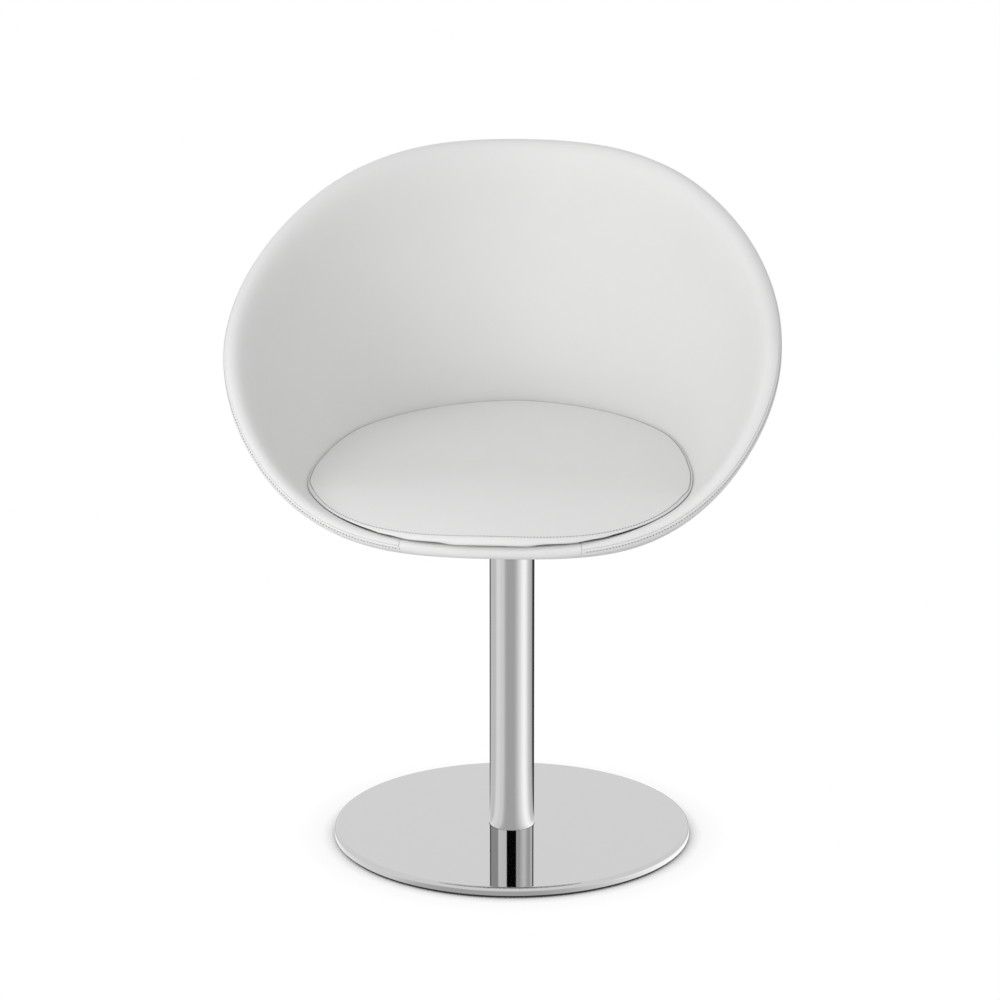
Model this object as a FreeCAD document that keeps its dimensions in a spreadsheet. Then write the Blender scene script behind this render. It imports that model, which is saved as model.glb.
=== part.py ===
import FreeCAD, Part
import math
import os

import Sketcher
from FreeCAD import Vector

# Pedestal swivel armchair: a padded bucket seat with a loose cushion, on a polished column and disc.
# Frame: millimetres, origin on the floor at the column's axis, +Z up, the seat opens towards -Y,
# and the two halves mirror each other in X.

doc = FreeCAD.newDocument("pedestal_armchair")
sheet = doc.addObject("Spreadsheet::Sheet", "sizes")

SIZES = [
    # Foot disc
    ("base_diameter", 400, "outside of the polished disc"),
    ("base_top", 12, "height of the disc's flat face above the floor"),
    ("base_rim_round", 4.5, "rounding of the disc's upper rim"),
    ("cover_sheet", 1.5, "sheet thickness of the disc's cover"),
    ("ballast_gap", 0.3, "gap from the ballast plate to the cover's skirt"),
    ("floor_pad_thickness", 3.5, "rubber pad under the ballast plate"),
    ("floor_pad_inset", 1, "step from the cover's skirt in to the rubber pad"),
    ("skirt_lift", 3, "height of the skirt's lower edge above the floor"),
    # Column
    ("column_diameter", 50, "outside of the column tube"),
    ("column_wall", 2.5, "wall of the column tube"),
    ("cover_hole_gap", 0.2, "radial gap from the column to the cover's hole"),
    ("foot_plug_height", 20, "steel plug welded into the column's foot"),
    ("foot_screw_circle", 26, "pitch circle of the screws under the column"),
    ("foot_screw_count", 3, "screws under the column"),
    ("foot_screw_diameter", 8, "shank of the screws under the column"),
    ("foot_screw_head", 14.5, "head of the countersunk screws"),
    ("foot_screw_length", 22, "length of the countersunk screws"),
    ("tube_chamfer", 0.5, "chamfer around the top of the column tube"),
    ("tap_depth", 3, "free thread below the screw's tip"),
    ("thread_gap", 0.05, "radial gap between a shank and its thread or hole"),
    ("hole_gap", 0.25, "radial gap between a shank and its clear hole"),
    # Swivel
    ("spindle_diameter", 28, "steel spindle that turns in the column"),
    ("running_gap", 0.05, "radial gap between the spindle and its bushes"),
    ("spindle_length", 184, "spindle below its shoulder"),
    ("bush_length", 24, "each plastic bush inside the tube"),
    ("bush_flange", 3, "flange of the upper bush on top of the tube"),
    ("thrust_washer", 1.5, "sliding washer between the bush and the shoulder"),
    ("thrust_washer_gap", 0.4, "radial gap around the spindle inside the washer"),
    ("shoulder_height", 16.5, "shoulder of the spindle under the seat plate"),
    ("spigot_diameter", 20, "spigot of the spindle in the seat plate"),
    ("clip_thickness", 1.5, "spring clip under the lower bush"),
    ("clip_depth", 1.5, "depth of the clip's groove"),
    ("clip_width", 4.5, "radial width of the clip"),
    ("clip_gap", 0.4, "end play between the clip and the lower bush"),
    ("clip_mouth", 9, "open mouth of the clip"),
    ("spindle_tail", 6, "spindle below the clip"),
    ("spindle_chamfer", 1, "chamfer around the spindle's lower end"),
    # Seat plate and its fasteners
    ("underside_height", 379, "lowest part of the upholstered bucket above the floor"),
    ("plate_diameter", 150, "steel plate under the seat"),
    ("plate_thickness", 4, "steel plate under the seat"),
    ("seat_screw_circle", 110, "pitch circle of the seat screws"),
    ("seat_screw_count", 4, "seat screws"),
    ("seat_screw_diameter", 8, "shank of the seat screws"),
    ("seat_screw_across", 13, "hexagon of the seat screws across its flats"),
    ("seat_screw_head", 5.3, "height of the seat screws' heads"),
    ("washer_diameter", 18, "washers of the seat screws"),
    ("washer_thickness", 1.6, "washers of the seat screws"),
    ("tee_nut_flange", 20, "flange of the tee nuts"),
    ("tee_nut_sheet", 1.5, "flange thickness of the tee nuts"),
    ("tee_nut_barrel", 10.5, "barrel of the tee nuts"),
    ("tee_nut_length", 9, "barrel length of the tee nuts"),
    # Bucket: the rim as seen from above and from the side
    ("rim_half_width", 297, "half of the rim's widest place"),
    ("rim_widest_y", -151.8, "where the rim is widest"),
    ("rim_front_reach", 174.5, "from the widest place to the front lip"),
    ("rim_back_reach", 351.1, "from the widest place to the top of the back"),
    ("rim_front_power", 2.36, "fullness of the rim's front curve from above"),
    ("rim_back_power", 1.92, "fullness of the rim's rear curve from above"),
    ("rim_mid_rise", 218.9, "middle of the rim over the bucket's underside"),
    ("rim_half_rise", 162.7, "half of the climb from the front lip to the back"),
    ("rim_rise_shift", 0.073, "share that lifts the arms"),
    ("rim_rise_fullness", -0.023, "share that steepens the climb to the arms"),
    ("rim_rise_crest", -0.021, "share that levels the top of the back"),
    ("lean_front", 19.5, "slope of the wall at the front lip, degrees"),
    ("lean_side", 77.9, "slope of the wall at the arms, degrees"),
    ("lean_back", 85.8, "slope of the wall at the top of the back, degrees"),
    ("bend_front", 0.77, "where the wall's two arcs meet, at the front"),
    ("bend_side", 0.82, "where the wall's two arcs meet, at the arms"),
    ("bend_back", 1.2, "where the wall's two arcs meet, at the back"),
    ("core_bend_side", 1.05, "how much tighter the core's inner face bends at the arms"),
    ("core_bend_back", 1.1, "how much tighter the core's inner face bends at the back"),
    ("inner_bend_side", 1.15, "how much tighter the upholstery's inner face bends at the arms"),
    ("inner_bend_back", 1.35, "how much tighter the upholstery's inner face bends at the back"),
    ("wall_side", 34, "upholstered wall at the arms and back"),
    ("wall_front", 15, "upholstered wall at the front lip"),
    ("wall_bottom", 26, "upholstered wall around the bottom opening"),
    ("leather", 1.5, "leather cover"),
    ("layer_gap", 0.25, "room between the layers of the upholstered wall"),
    ("outer_foam", 4, "foam behind the outer cover"),
    ("core_wall", 5, "moulded core of the bucket"),
    ("panel_half_angle", 15, "half of the front panel's sector, degrees"),
    ("cover_seam_gap", 0.1, "sector gap between the front panel and its neighbours, degrees"),
    ("bottom_opening", 124, "opening that the padded wall leaves around the pole"),
    ("boss_diameter", 140, "thick middle of the core that takes the tee nuts"),
    ("boss_thickness", 12.5, "thick middle of the core"),
    ("boss_gap", 2, "gap from the boss to the foam and cover around it"),
    ("lining_diameter", 160, "black lining disc under the cushion"),
    ("strip_length", 90, "hook and loop strips"),
    ("strip_width", 20, "hook and loop strips"),
    ("strip_thickness", 1.2, "hook and loop strips"),
    ("strip_spacing", 50, "distance between the two strips"),
    # Seat cushion
    ("cushion_half_width", 209, "half of the cushion's widest place"),
    ("cushion_widest_y", -160, "where the cushion is widest"),
    ("cushion_front_y", -332, "front face of the cushion"),
    ("cushion_back_y", 137, "rear end of the cushion"),
    ("cushion_front_fullness", 2.6, "power of the front corner's curve"),
    ("cushion_back_fullness", 2.1, "power of the rear curve"),
    ("cushion_height", 75.6, "highest line of the cushion over its underside"),
    ("cushion_front_drop", 27, "fall of the cushion's top towards its front seam"),
    ("cushion_back_drop", 11, "fall of the cushion's top towards the back"),
    ("waterfall_power", 1.7, "how late the cushion's front falls off"),
    ("waterfall_y", -205, "where the cushion's top starts to fall forwards"),
    ("cushion_crown", 9, "rise of the cushion's middle over its side seams"),
    ("cushion_draw_in", 5, "how far the seams are drawn in from the cushion's sides"),
    ("cushion_leather", 1.3, "leather cover of the cushion"),
    ("soft_gap", 0.5, "gap from the cushion to the bucket"),
]

for row, (alias, number, note) in enumerate(SIZES, start=1):
    sheet.set("A%d" % row, alias)
    sheet.set("B%d" % row, str(number))
    sheet.setAlias("B%d" % row, alias)
    sheet.set("C%d" % row, note)
doc.recompute()

FULL_TURN = 360
PANEL_SECTION_COUNT = 7
COVER_SECTION_COUNT = 37
CUSHION_SECTION_COUNT = 11
NARROW_END = 0.99
QUARTER = math.sqrt(0.5)
SAME = 1e-4


def size(alias):
    """Number in the sheet under this alias."""
    return float(sheet.get(alias))


def value(expression):
    """Number that an expression on the sheet gives now."""
    return float(sheet.evalExpression(expression))


# Expressions on the sheet that several pieces share

COLUMN_RADIUS = "sizes.column_diameter / 2"
BORE_RADIUS = "(sizes.column_diameter / 2 - sizes.column_wall)"
SPINDLE_RADIUS = "sizes.spindle_diameter / 2"
COVER_RADIUS = "sizes.base_diameter / 2"
BALLAST_TOP = "(sizes.base_top - sizes.cover_sheet)"
PLATE_BOTTOM = "(sizes.underside_height - sizes.plate_thickness)"
SHOULDER_BOTTOM = "(%s - sizes.shoulder_height)" % PLATE_BOTTOM
FLANGE_TOP = "(%s - sizes.thrust_washer)" % SHOULDER_BOTTOM
TUBE_TOP = "(%s - sizes.bush_flange)" % FLANGE_TOP
SPINDLE_END = "(%s - sizes.spindle_length)" % SHOULDER_BOTTOM
CLIP_BOTTOM = "(%s + sizes.spindle_tail)" % SPINDLE_END
CLIP_TOP = "(%s + sizes.clip_thickness)" % CLIP_BOTTOM
LOWER_BUSH_BOTTOM = "(%s + sizes.clip_gap)" % CLIP_TOP
FOOT_SCREW_RADIUS = "sizes.foot_screw_diameter / 2"
SEAT_SCREW_RADIUS = "sizes.seat_screw_diameter / 2"
BOSS_TOP = "(sizes.underside_height + sizes.boss_thickness)"


# Turned and plate pieces


def origin_plane(body, role):
    """One of the body's own origin planes."""
    return [item for item in body.Origin.OriginFeatures if item.Role == role][0]


def new_sketch(body, name, role):
    """Empty sketch on one of the body's own planes."""
    sketch = body.newObject("Sketcher::SketchObject", name)
    sketch.AttachmentSupport = [(origin_plane(body, role), "")]
    sketch.MapMode = "FlatFace"
    return sketch


def hold_point(sketch, edge, across, up):
    """Tie the start of an edge to the sketch's origin by two expressions."""
    for kind, axis, expression in (("DistanceX", -2, across), ("DistanceY", -1, up)):
        if expression == "0":
            sketch.addConstraint(Sketcher.Constraint("PointOnObject", edge, 1, axis))
            continue
        index = sketch.addConstraint(Sketcher.Constraint(kind, -1, 1, edge, 1, value(expression)))
        sketch.setExpression("Constraints[%d]" % index, expression)


def outline_sketch(body, name, role, corners):
    """Closed outline of straight edges through corners given as pairs of expressions."""
    sketch = new_sketch(body, name, role)
    points = [Vector(value(across), value(up), 0) for across, up in corners]
    count = len(points)
    for index, point in enumerate(points):
        sketch.addGeometry(Part.LineSegment(point, points[(index + 1) % count]), False)
    for index in range(count):
        sketch.addConstraint(Sketcher.Constraint("Coincident", index, 2, (index + 1) % count, 1))
    for index, (across, up) in enumerate(corners):
        hold_point(sketch, index, across, up)
    return sketch


def circle_sketch(body, name, radius, across="0"):
    """Circle on the floor plane, centred on the X axis."""
    sketch = new_sketch(body, name, "XY_Plane")
    middle = Vector(value(across), 0, 0)
    circle = sketch.addGeometry(Part.Circle(middle, Vector(0, 0, 1), value(radius)), False)
    index = sketch.addConstraint(Sketcher.Constraint("Radius", circle, value(radius)))
    sketch.setExpression("Constraints[%d]" % index, radius)
    sketch.addConstraint(Sketcher.Constraint("PointOnObject", circle, 3, -1))
    if across == "0":
        sketch.addConstraint(Sketcher.Constraint("PointOnObject", circle, 3, -2))
        return sketch
    index = sketch.addConstraint(Sketcher.Constraint("DistanceX", -1, 1, circle, 3, value(across)))
    sketch.setExpression("Constraints[%d]" % index, across)
    return sketch


def turned_body(label, corners):
    """Body turned about the column's axis from corners given as (radius, height)."""
    body = doc.addObject("PartDesign::Body", label)
    body.Label = label
    sketch = outline_sketch(body, label + "_profile", "XZ_Plane", corners)
    turn = body.newObject("PartDesign::Revolution", label + "_turn")
    turn.Profile = sketch
    turn.ReferenceAxis = (sketch, ["V_Axis"])
    turn.Angle = FULL_TURN
    sketch.Visibility = False
    doc.recompute()
    return body


def sleeve_body(label, inside, outside, low, high):
    """Turned body with a plain rectangular section."""
    return turned_body(label, [(inside, low), (outside, low), (outside, high), (inside, high)])


def rim_edges(shape, radius, height):
    """Names of the shape's round edges with this radius at this height."""
    names = []
    for index, edge in enumerate(shape.Edges, start=1):
        curve = edge.Curve
        if not isinstance(curve, Part.Circle):
            continue
        if abs(curve.Radius - radius) < SAME and abs(curve.Center.z - height) < SAME:
            names.append("Edge%d" % index)
    return names


def chamfer_rim(body, radius, height, width):
    """Chamfer the round edge of a turned body."""
    edges = rim_edges(body.Shape, value(radius), value(height))
    base = body.Tip
    chamfer = body.newObject("PartDesign::Chamfer", body.Label + "_chamfer")
    chamfer.Base = (base, edges)
    chamfer.setExpression("Size", width)
    body.Tip = chamfer
    doc.recompute()
    return chamfer


def cylinder(name, radius, height, x="0", y="0", z="0"):
    """Part cylinder whose sizes and place are expressions."""
    item = doc.addObject("Part::Cylinder", name)
    item.setExpression("Radius", radius)
    item.setExpression("Height", height)
    place(item, x, y, z)
    return item


def cone(name, low_radius, high_radius, height, x, y, z):
    """Part cone whose sizes and place are expressions."""
    item = doc.addObject("Part::Cone", name)
    item.setExpression("Radius1", low_radius)
    item.setExpression("Radius2", high_radius)
    item.setExpression("Height", height)
    place(item, x, y, z)
    return item


def place(item, x, y, z):
    """Bind an object's place to three expressions."""
    for letter, expression in (("x", x), ("y", y), ("z", z)):
        item.setExpression("Placement.Base.%s" % letter, expression)


def ring_places(circle, count, first):
    """Expressions for equal places on a pitch circle, the first a share of a step from the X axis."""
    total = int(round(value("sizes.%s" % count)))
    step = FULL_TURN / total
    half = "sizes.%s / 2" % circle
    places = []
    for index in range(total):
        angle = step * (index + first)
        places.append(("%s * cos(%g deg)" % (half, angle), "%s * sin(%g deg)" % (half, angle)))
    return places


def fuse(name, items):
    """One solid from several overlapping or touching ones."""
    joined = doc.addObject("Part::MultiFuse", name)
    joined.Shapes = items
    joined.Refine = True
    return joined


def cut(name, base, tool):
    """Base without the tool."""
    result = doc.addObject("Part::Cut", name)
    result.Base = base
    result.Tool = tool
    return result


def group(label, items):
    """Separate solids of one kind under one label."""
    result = doc.addObject("Part::Compound", label)
    result.Label = label
    result.Links = items
    return result


def make_base_cover():
    """Polished sheet disc with a rounded rim and a short skirt."""
    hole = "(%s + sizes.cover_hole_gap)" % COLUMN_RADIUS
    inner = "(%s - sizes.cover_sheet)" % COVER_RADIUS
    body = turned_body("base_cover", [
        (hole, BALLAST_TOP),
        (inner, BALLAST_TOP),
        (inner, "sizes.skirt_lift"),
        (COVER_RADIUS, "sizes.skirt_lift"),
        (COVER_RADIUS, "sizes.base_top"),
        (hole, "sizes.base_top"),
    ])
    edges = rim_edges(body.Shape, value(COVER_RADIUS), size("base_top"))
    turn = body.Tip
    rounding = body.newObject("PartDesign::Fillet", "base_cover_round")
    rounding.Base = (turn, edges)
    rounding.setExpression("Radius", "sizes.base_rim_round")
    body.Tip = rounding
    doc.recompute()
    inner_edges = rim_edges(body.Shape, value(inner), value(BALLAST_TOP))
    inside = body.newObject("PartDesign::Fillet", "base_cover_inner_round")
    inside.Base = (rounding, inner_edges)
    inside.setExpression("Radius", "sizes.base_rim_round - sizes.cover_sheet")
    body.Tip = inside
    doc.recompute()
    return body


def make_ballast_plate():
    """Heavy plate inside the cover, countersunk from below for the column's screws."""
    bottom = "sizes.floor_pad_thickness"
    height = "%s - %s" % (BALLAST_TOP, bottom)
    radius = "%s - sizes.cover_sheet - sizes.ballast_gap" % COVER_RADIUS
    disc = cylinder("ballast_disc", radius, height, z=bottom)
    edge = value("sizes.base_rim_round - sizes.cover_sheet")
    disc_chamfer = doc.addObject("Part::Chamfer", "ballast_edge")
    disc_chamfer.Base = disc
    doc.recompute()
    top = [int(name[4:]) for name in rim_edges(disc.Shape, value(radius), value(BALLAST_TOP))]
    disc_chamfer.Edges = [(index, edge, edge) for index in top]
    tools = []
    head_depth = "(sizes.foot_screw_head - sizes.foot_screw_diameter) / 2"
    clear = "%s + sizes.hole_gap" % FOOT_SCREW_RADIUS
    for index, (x, y) in enumerate(ring_places("foot_screw_circle", "foot_screw_count", 0.5)):
        wide = "sizes.foot_screw_head / 2 + sizes.hole_gap"
        tools.append(cone("ballast_sink_%d" % index, wide, clear, head_depth, x, y, bottom))
        tools.append(cylinder("ballast_hole_%d" % index, clear, height, x, y, bottom))
    plate = cut("ballast_plate", disc_chamfer, fuse("ballast_holes", tools))
    plate.Label = "ballast_plate"
    return plate


def make_floor_pad():
    """Round rubber pad glued under the ballast plate, which the chair stands on."""
    radius = "%s - sizes.cover_sheet - sizes.floor_pad_inset" % COVER_RADIUS
    pad = cylinder("floor_pad", radius, "sizes.floor_pad_thickness")
    pad.Label = "floor_pad"
    return pad


def make_column_tube():
    """Polished tube from the ballast plate up to the bush flange."""
    body = sleeve_body("column_tube", BORE_RADIUS, COLUMN_RADIUS, BALLAST_TOP, TUBE_TOP)
    chamfer_rim(body, COLUMN_RADIUS, TUBE_TOP, "sizes.tube_chamfer")
    return body


def make_foot_plug():
    """Steel plug in the column's foot, tapped for the screws from below."""
    plug = cylinder("foot_plug_blank", BORE_RADIUS, "sizes.foot_plug_height", z=BALLAST_TOP)
    depth = "sizes.foot_screw_length + sizes.floor_pad_thickness - %s + sizes.tap_depth" % BALLAST_TOP
    taps = []
    for index, (x, y) in enumerate(ring_places("foot_screw_circle", "foot_screw_count", 0.5)):
        tap = "%s + sizes.thread_gap" % FOOT_SCREW_RADIUS
        taps.append(cylinder("foot_plug_tap_%d" % index, tap, depth, x, y, BALLAST_TOP))
    plug = cut("column_foot_plug", plug, fuse("foot_plug_taps", taps))
    plug.Label = "column_foot_plug"
    return plug


def make_column_screws():
    """Countersunk screws that hold the column to the ballast plate."""
    bottom = "sizes.floor_pad_thickness"
    wide = "sizes.foot_screw_head / 2"
    depth = "(sizes.foot_screw_head - sizes.foot_screw_diameter) / 2"
    length = "sizes.foot_screw_length"
    screws = []
    for index, (x, y) in enumerate(ring_places("foot_screw_circle", "foot_screw_count", 0.5)):
        top = cone("foot_screw_head_%d" % index, wide, FOOT_SCREW_RADIUS, depth, x, y, bottom)
        shank = cylinder("foot_screw_shank_%d" % index, FOOT_SCREW_RADIUS, length, x, y, bottom)
        screws.append(fuse("foot_screw_%d" % index, [top, shank]))
    return group("column_screws", screws)


def make_bushes():
    """Two plastic bushes that carry the spindle in the tube."""
    bore = "(%s + sizes.running_gap)" % SPINDLE_RADIUS
    upper_bottom = "(%s - sizes.bush_length)" % TUBE_TOP
    turned_body("upper_bush", [
        (bore, upper_bottom),
        (BORE_RADIUS, upper_bottom),
        (BORE_RADIUS, TUBE_TOP),
        (COLUMN_RADIUS, TUBE_TOP),
        (COLUMN_RADIUS, FLANGE_TOP),
        (bore, FLANGE_TOP),
    ])
    lower_top = "(%s + sizes.bush_length)" % LOWER_BUSH_BOTTOM
    sleeve_body("lower_bush", bore, BORE_RADIUS, LOWER_BUSH_BOTTOM, lower_top)


def make_thrust_washer():
    """Sliding washer that carries the seat's weight on the bush flange."""
    inside = "(%s + sizes.thrust_washer_gap)" % SPINDLE_RADIUS
    return sleeve_body("thrust_washer", inside, COLUMN_RADIUS, FLANGE_TOP, SHOULDER_BOTTOM)


def make_spindle():
    """Spindle with a shoulder under the seat plate, a spigot in it and a groove for the clip."""
    groove = "(%s - sizes.clip_depth)" % SPINDLE_RADIUS
    spigot = "sizes.spigot_diameter / 2"
    body = turned_body("swivel_spindle", [
        ("0", SPINDLE_END),
        (SPINDLE_RADIUS, SPINDLE_END),
        (SPINDLE_RADIUS, CLIP_BOTTOM),
        (groove, CLIP_BOTTOM),
        (groove, CLIP_TOP),
        (SPINDLE_RADIUS, CLIP_TOP),
        (SPINDLE_RADIUS, SHOULDER_BOTTOM),
        (COLUMN_RADIUS, SHOULDER_BOTTOM),
        (COLUMN_RADIUS, PLATE_BOTTOM),
        (spigot, PLATE_BOTTOM),
        (spigot, "sizes.underside_height"),
        ("0", "sizes.underside_height"),
    ])
    chamfer_rim(body, SPINDLE_RADIUS, SPINDLE_END, "sizes.spindle_chamfer")
    return body


def make_retaining_clip():
    """Open spring clip in the spindle's groove, under the lower bush."""
    inside = "(%s - sizes.clip_depth)" % SPINDLE_RADIUS
    outside = "(%s + sizes.clip_width)" % inside
    body = sleeve_body("retaining_clip", inside, outside, CLIP_BOTTOM, CLIP_TOP)
    full = body.Shape.Volume
    half = "sizes.clip_mouth / 2"
    sketch = new_sketch(body, "clip_mouth_outline", "XY_Plane")
    reach = value(outside) + size("clip_width")
    corners = [Vector(0, -value(half), 0), Vector(reach, -value(half), 0), Vector(reach, value(half), 0),
               Vector(0, value(half), 0)]
    for index, corner in enumerate(corners):
        sketch.addGeometry(Part.LineSegment(corner, corners[(index + 1) % len(corners)]), False)
    for index in range(len(corners)):
        sketch.addConstraint(Sketcher.Constraint("Coincident", index, 2, (index + 1) % len(corners), 1))
    for edge, kind in ((0, "Horizontal"), (1, "Vertical"), (2, "Horizontal"), (3, "Vertical")):
        sketch.addConstraint(Sketcher.Constraint(kind, edge))
    sketch.addConstraint(Sketcher.Constraint("Symmetric", 0, 1, 2, 2, -1, 1))
    width = sketch.addConstraint(Sketcher.Constraint("DistanceY", 1, 1, 1, 2, size("clip_mouth")))
    sketch.setExpression("Constraints[%d]" % width, "sizes.clip_mouth")
    length = sketch.addConstraint(Sketcher.Constraint("DistanceX", 0, 1, 0, 2, reach))
    sketch.setExpression("Constraints[%d]" % length, "%s + sizes.clip_width" % outside)
    mouth = body.newObject("PartDesign::Pocket", "clip_mouth_cut")
    mouth.Profile = sketch
    mouth.Type = "ThroughAll"
    mouth.Midplane = True
    body.Tip = mouth
    doc.recompute()
    if body.Shape.Volume >= full:
        raise RuntimeError("the clip's mouth cut nothing")
    return body


def make_seat_plate():
    """Round steel plate on the spindle with a hole for each seat screw."""
    body = sleeve_body("mounting_plate", "sizes.spigot_diameter / 2", "sizes.plate_diameter / 2",
                       PLATE_BOTTOM, "sizes.underside_height")
    full = body.Shape.Volume
    hole = circle_sketch(body, "plate_hole_outline", "%s + sizes.hole_gap" % SEAT_SCREW_RADIUS,
                         "sizes.seat_screw_circle / 2")
    pocket = body.newObject("PartDesign::Pocket", "plate_hole")
    pocket.Profile = hole
    pocket.Type = "ThroughAll"
    pocket.Midplane = True
    body.Tip = pocket
    doc.recompute()
    if body.Shape.Volume >= full:
        raise RuntimeError("the plate's hole cut nothing")
    one_hole = body.Shape.Volume
    pattern = body.newObject("PartDesign::PolarPattern", "plate_holes")
    pattern.Originals = [pocket]
    pattern.Axis = (hole, ["N_Axis"])
    pattern.Angle = FULL_TURN
    pattern.setExpression("Occurrences", "sizes.seat_screw_count")
    body.Tip = pattern
    doc.recompute()
    if body.Shape.Volume >= one_hole:
        raise RuntimeError("the plate's pattern cut nothing")
    return body


def make_plate_fasteners():
    """Hexagon screws from below, their washers, and the tee nuts in the core."""
    head_top = "(%s - sizes.washer_thickness)" % PLATE_BOTTOM
    head_bottom = "(%s - sizes.seat_screw_head)" % head_top
    tip = "(%s + sizes.tee_nut_sheet)" % BOSS_TOP
    screws, washers, nuts = [], [], []
    for index, (x, y) in enumerate(ring_places("seat_screw_circle", "seat_screw_count", 0)):
        head = doc.addObject("Part::Prism", "seat_screw_head_%d" % index)
        head.Polygon = 6
        head.setExpression("Circumradius", "sizes.seat_screw_across / 2 / cos(30 deg)")
        head.setExpression("Height", "sizes.seat_screw_head")
        place(head, x, y, head_bottom)
        shank = cylinder("seat_screw_shank_%d" % index, SEAT_SCREW_RADIUS,
                         "%s - %s" % (tip, head_bottom), x, y, head_bottom)
        screws.append(fuse("seat_screw_%d" % index, [head, shank]))
        disc = cylinder("seat_washer_disc_%d" % index, "sizes.washer_diameter / 2", "sizes.washer_thickness",
                        x, y, head_top)
        bore = cylinder("seat_washer_bore_%d" % index, "%s + sizes.hole_gap" % SEAT_SCREW_RADIUS,
                        "sizes.washer_thickness", x, y, head_top)
        washers.append(cut("seat_washer_%d" % index, disc, bore))
        flange = cylinder("tee_flange_%d" % index, "sizes.tee_nut_flange / 2", "sizes.tee_nut_sheet",
                          x, y, BOSS_TOP)
        barrel = cylinder("tee_barrel_%d" % index, "sizes.tee_nut_barrel / 2", "sizes.tee_nut_length",
                          x, y, "%s - sizes.tee_nut_length" % BOSS_TOP)
        thread = cylinder("tee_thread_%d" % index, "%s + sizes.thread_gap" % SEAT_SCREW_RADIUS,
                          "sizes.tee_nut_length + sizes.tee_nut_sheet", x, y,
                          "%s - sizes.tee_nut_length" % BOSS_TOP)
        nuts.append(cut("tee_nut_%d" % index, fuse("tee_blank_%d" % index, [flange, barrel]), thread))
    group("seat_screws", screws)
    group("seat_washers", washers)
    group("tee_nuts", nuts)


# Upholstered bucket. Each layer is a loft through flat sections that all hold the column's axis.
# A section's side is two tangent arcs, from level at the bottom opening to the wall's lean at the rim.


def flat(across, up):
    """Point of a section: distance from the axis, and height."""
    return Vector(across, up, 0)


def left_of(direction):
    """Direction turned a quarter turn to the left."""
    return flat(-direction.y, direction.x)


def around(front, side, back, turn):
    """Value that goes smoothly from the front through the sides to the back."""
    swing = math.cos(turn)
    return side + (front - back) / 2 * swing + ((front + back) / 2 - side) * swing * swing


def power_curve(share, power):
    """Swing between -1 and 1, squared off by the power."""
    return math.copysign(abs(share) ** (2 / power), share)


def rim_point(turn):
    """Point of the rim's outer line at this turn from the front."""
    forwards = math.cos(turn)
    end = "front" if forwards > 0 else "back"
    power = size("rim_%s_power" % end)
    x = size("rim_half_width") * power_curve(math.sin(turn), power)
    y = size("rim_widest_y") - size("rim_%s_reach" % end) * power_curve(forwards, power)
    climb = (forwards + size("rim_rise_shift") * math.cos(2 * turn)
             + size("rim_rise_fullness") * math.cos(3 * turn) + size("rim_rise_crest") * math.cos(5 * turn))
    z = size("underside_height") + size("rim_mid_rise") - size("rim_half_rise") * climb
    return Vector(x, y, z)


def wall_at(turn):
    """Thickness of the upholstered wall at the rim."""
    near_front = ((1 + math.cos(turn)) / 2) ** 2
    return size("wall_side") - (size("wall_side") - size("wall_front")) * near_front


def arc_middle(start, direction, end):
    """Middle point of the arc that leaves start in this direction and reaches end."""
    normal = left_of(direction)
    chord = end - start
    radius = chord.dot(chord) / (2 * chord.dot(normal))
    centre = start + normal * radius
    outwards = (start + end) * 0.5 - centre
    outwards.normalize()
    return centre + outwards * abs(radius)


class Section:
    """One flat section of the bucket at a turn from the front."""

    def __init__(self, turn):
        self.turn = turn
        rim = rim_point(turn)
        self.reach = math.hypot(rim.x, rim.y)
        self.heading = (rim.x / self.reach, rim.y / self.reach)
        lean = math.radians(around(size("lean_front"), size("lean_side"), size("lean_back"), turn))
        self.up = flat(math.cos(lean), math.sin(lean))
        self.inwards = left_of(self.up)
        self.rim = flat(self.reach, rim.z)
        self.wall = wall_at(turn)
        self.roll_centre = self.rim + self.inwards * (self.wall / 2)

    def side(self, bottom_depth, rim_depth, tighten, short=0):
        """Five points of a side at these depths from the outer face: ends, arc middles and the join.

        The side may end short of the rim.
        """
        bend = around(size("bend_front"), size("bend_side"), size("bend_back"), self.turn) * tighten
        start = flat(size("bottom_opening") / 2, size("underside_height") + bottom_depth)
        end = self.rim + self.inwards * rim_depth - self.up * short
        level = flat(1, 0)
        chord = end - start
        spread = level.dot(self.up)
        square = 2 * bend * (spread - 1)
        linear = -2 * (chord.dot(level) + bend * chord.dot(self.up))
        root = math.sqrt(linear * linear - 4 * square * chord.dot(chord))
        first = (-linear - root) / (2 * square)
        second = first * bend
        join = ((start + level * first) * second + (end - self.up * second) * first) * (1 / (first + second))
        return [start, arc_middle(start, level, join), join, arc_middle(end, self.up * -1, join), end]

    def roll(self, radius):
        """Four points of the rolled edge after its start: two arcs of a quarter turn over the rim."""
        top = self.roll_centre + self.up * radius
        outer = self.roll_centre + (self.up - self.inwards) * (radius * QUARTER)
        inner = self.roll_centre + (self.up + self.inwards) * (radius * QUARTER)
        return [outer, top, inner, self.roll_centre + self.inwards * radius]

    def in_space(self, point):
        """Place of a section's point in the chair's frame."""
        return Vector(point.x * self.heading[0], point.x * self.heading[1], point.y)

    def wire(self, runs):
        """Closed wire through runs of points: two points give a line, five points two arcs."""
        edges = []
        for run in runs:
            points = [self.in_space(point) for point in run]
            if len(points) == 2:
                edges.append(Part.makeLine(points[0], points[1]))
                continue
            edges.append(Part.Arc(points[0], points[1], points[2]).toShape())
            edges.append(Part.Arc(points[2], points[3], points[4]).toShape())
        return Part.Wire(edges)


def tighten_inner(turn):
    """Bend of an inner side, which keeps the wall even where the bottom turns up."""
    return around(1, size("inner_bend_side"), size("inner_bend_back"), turn)


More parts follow.
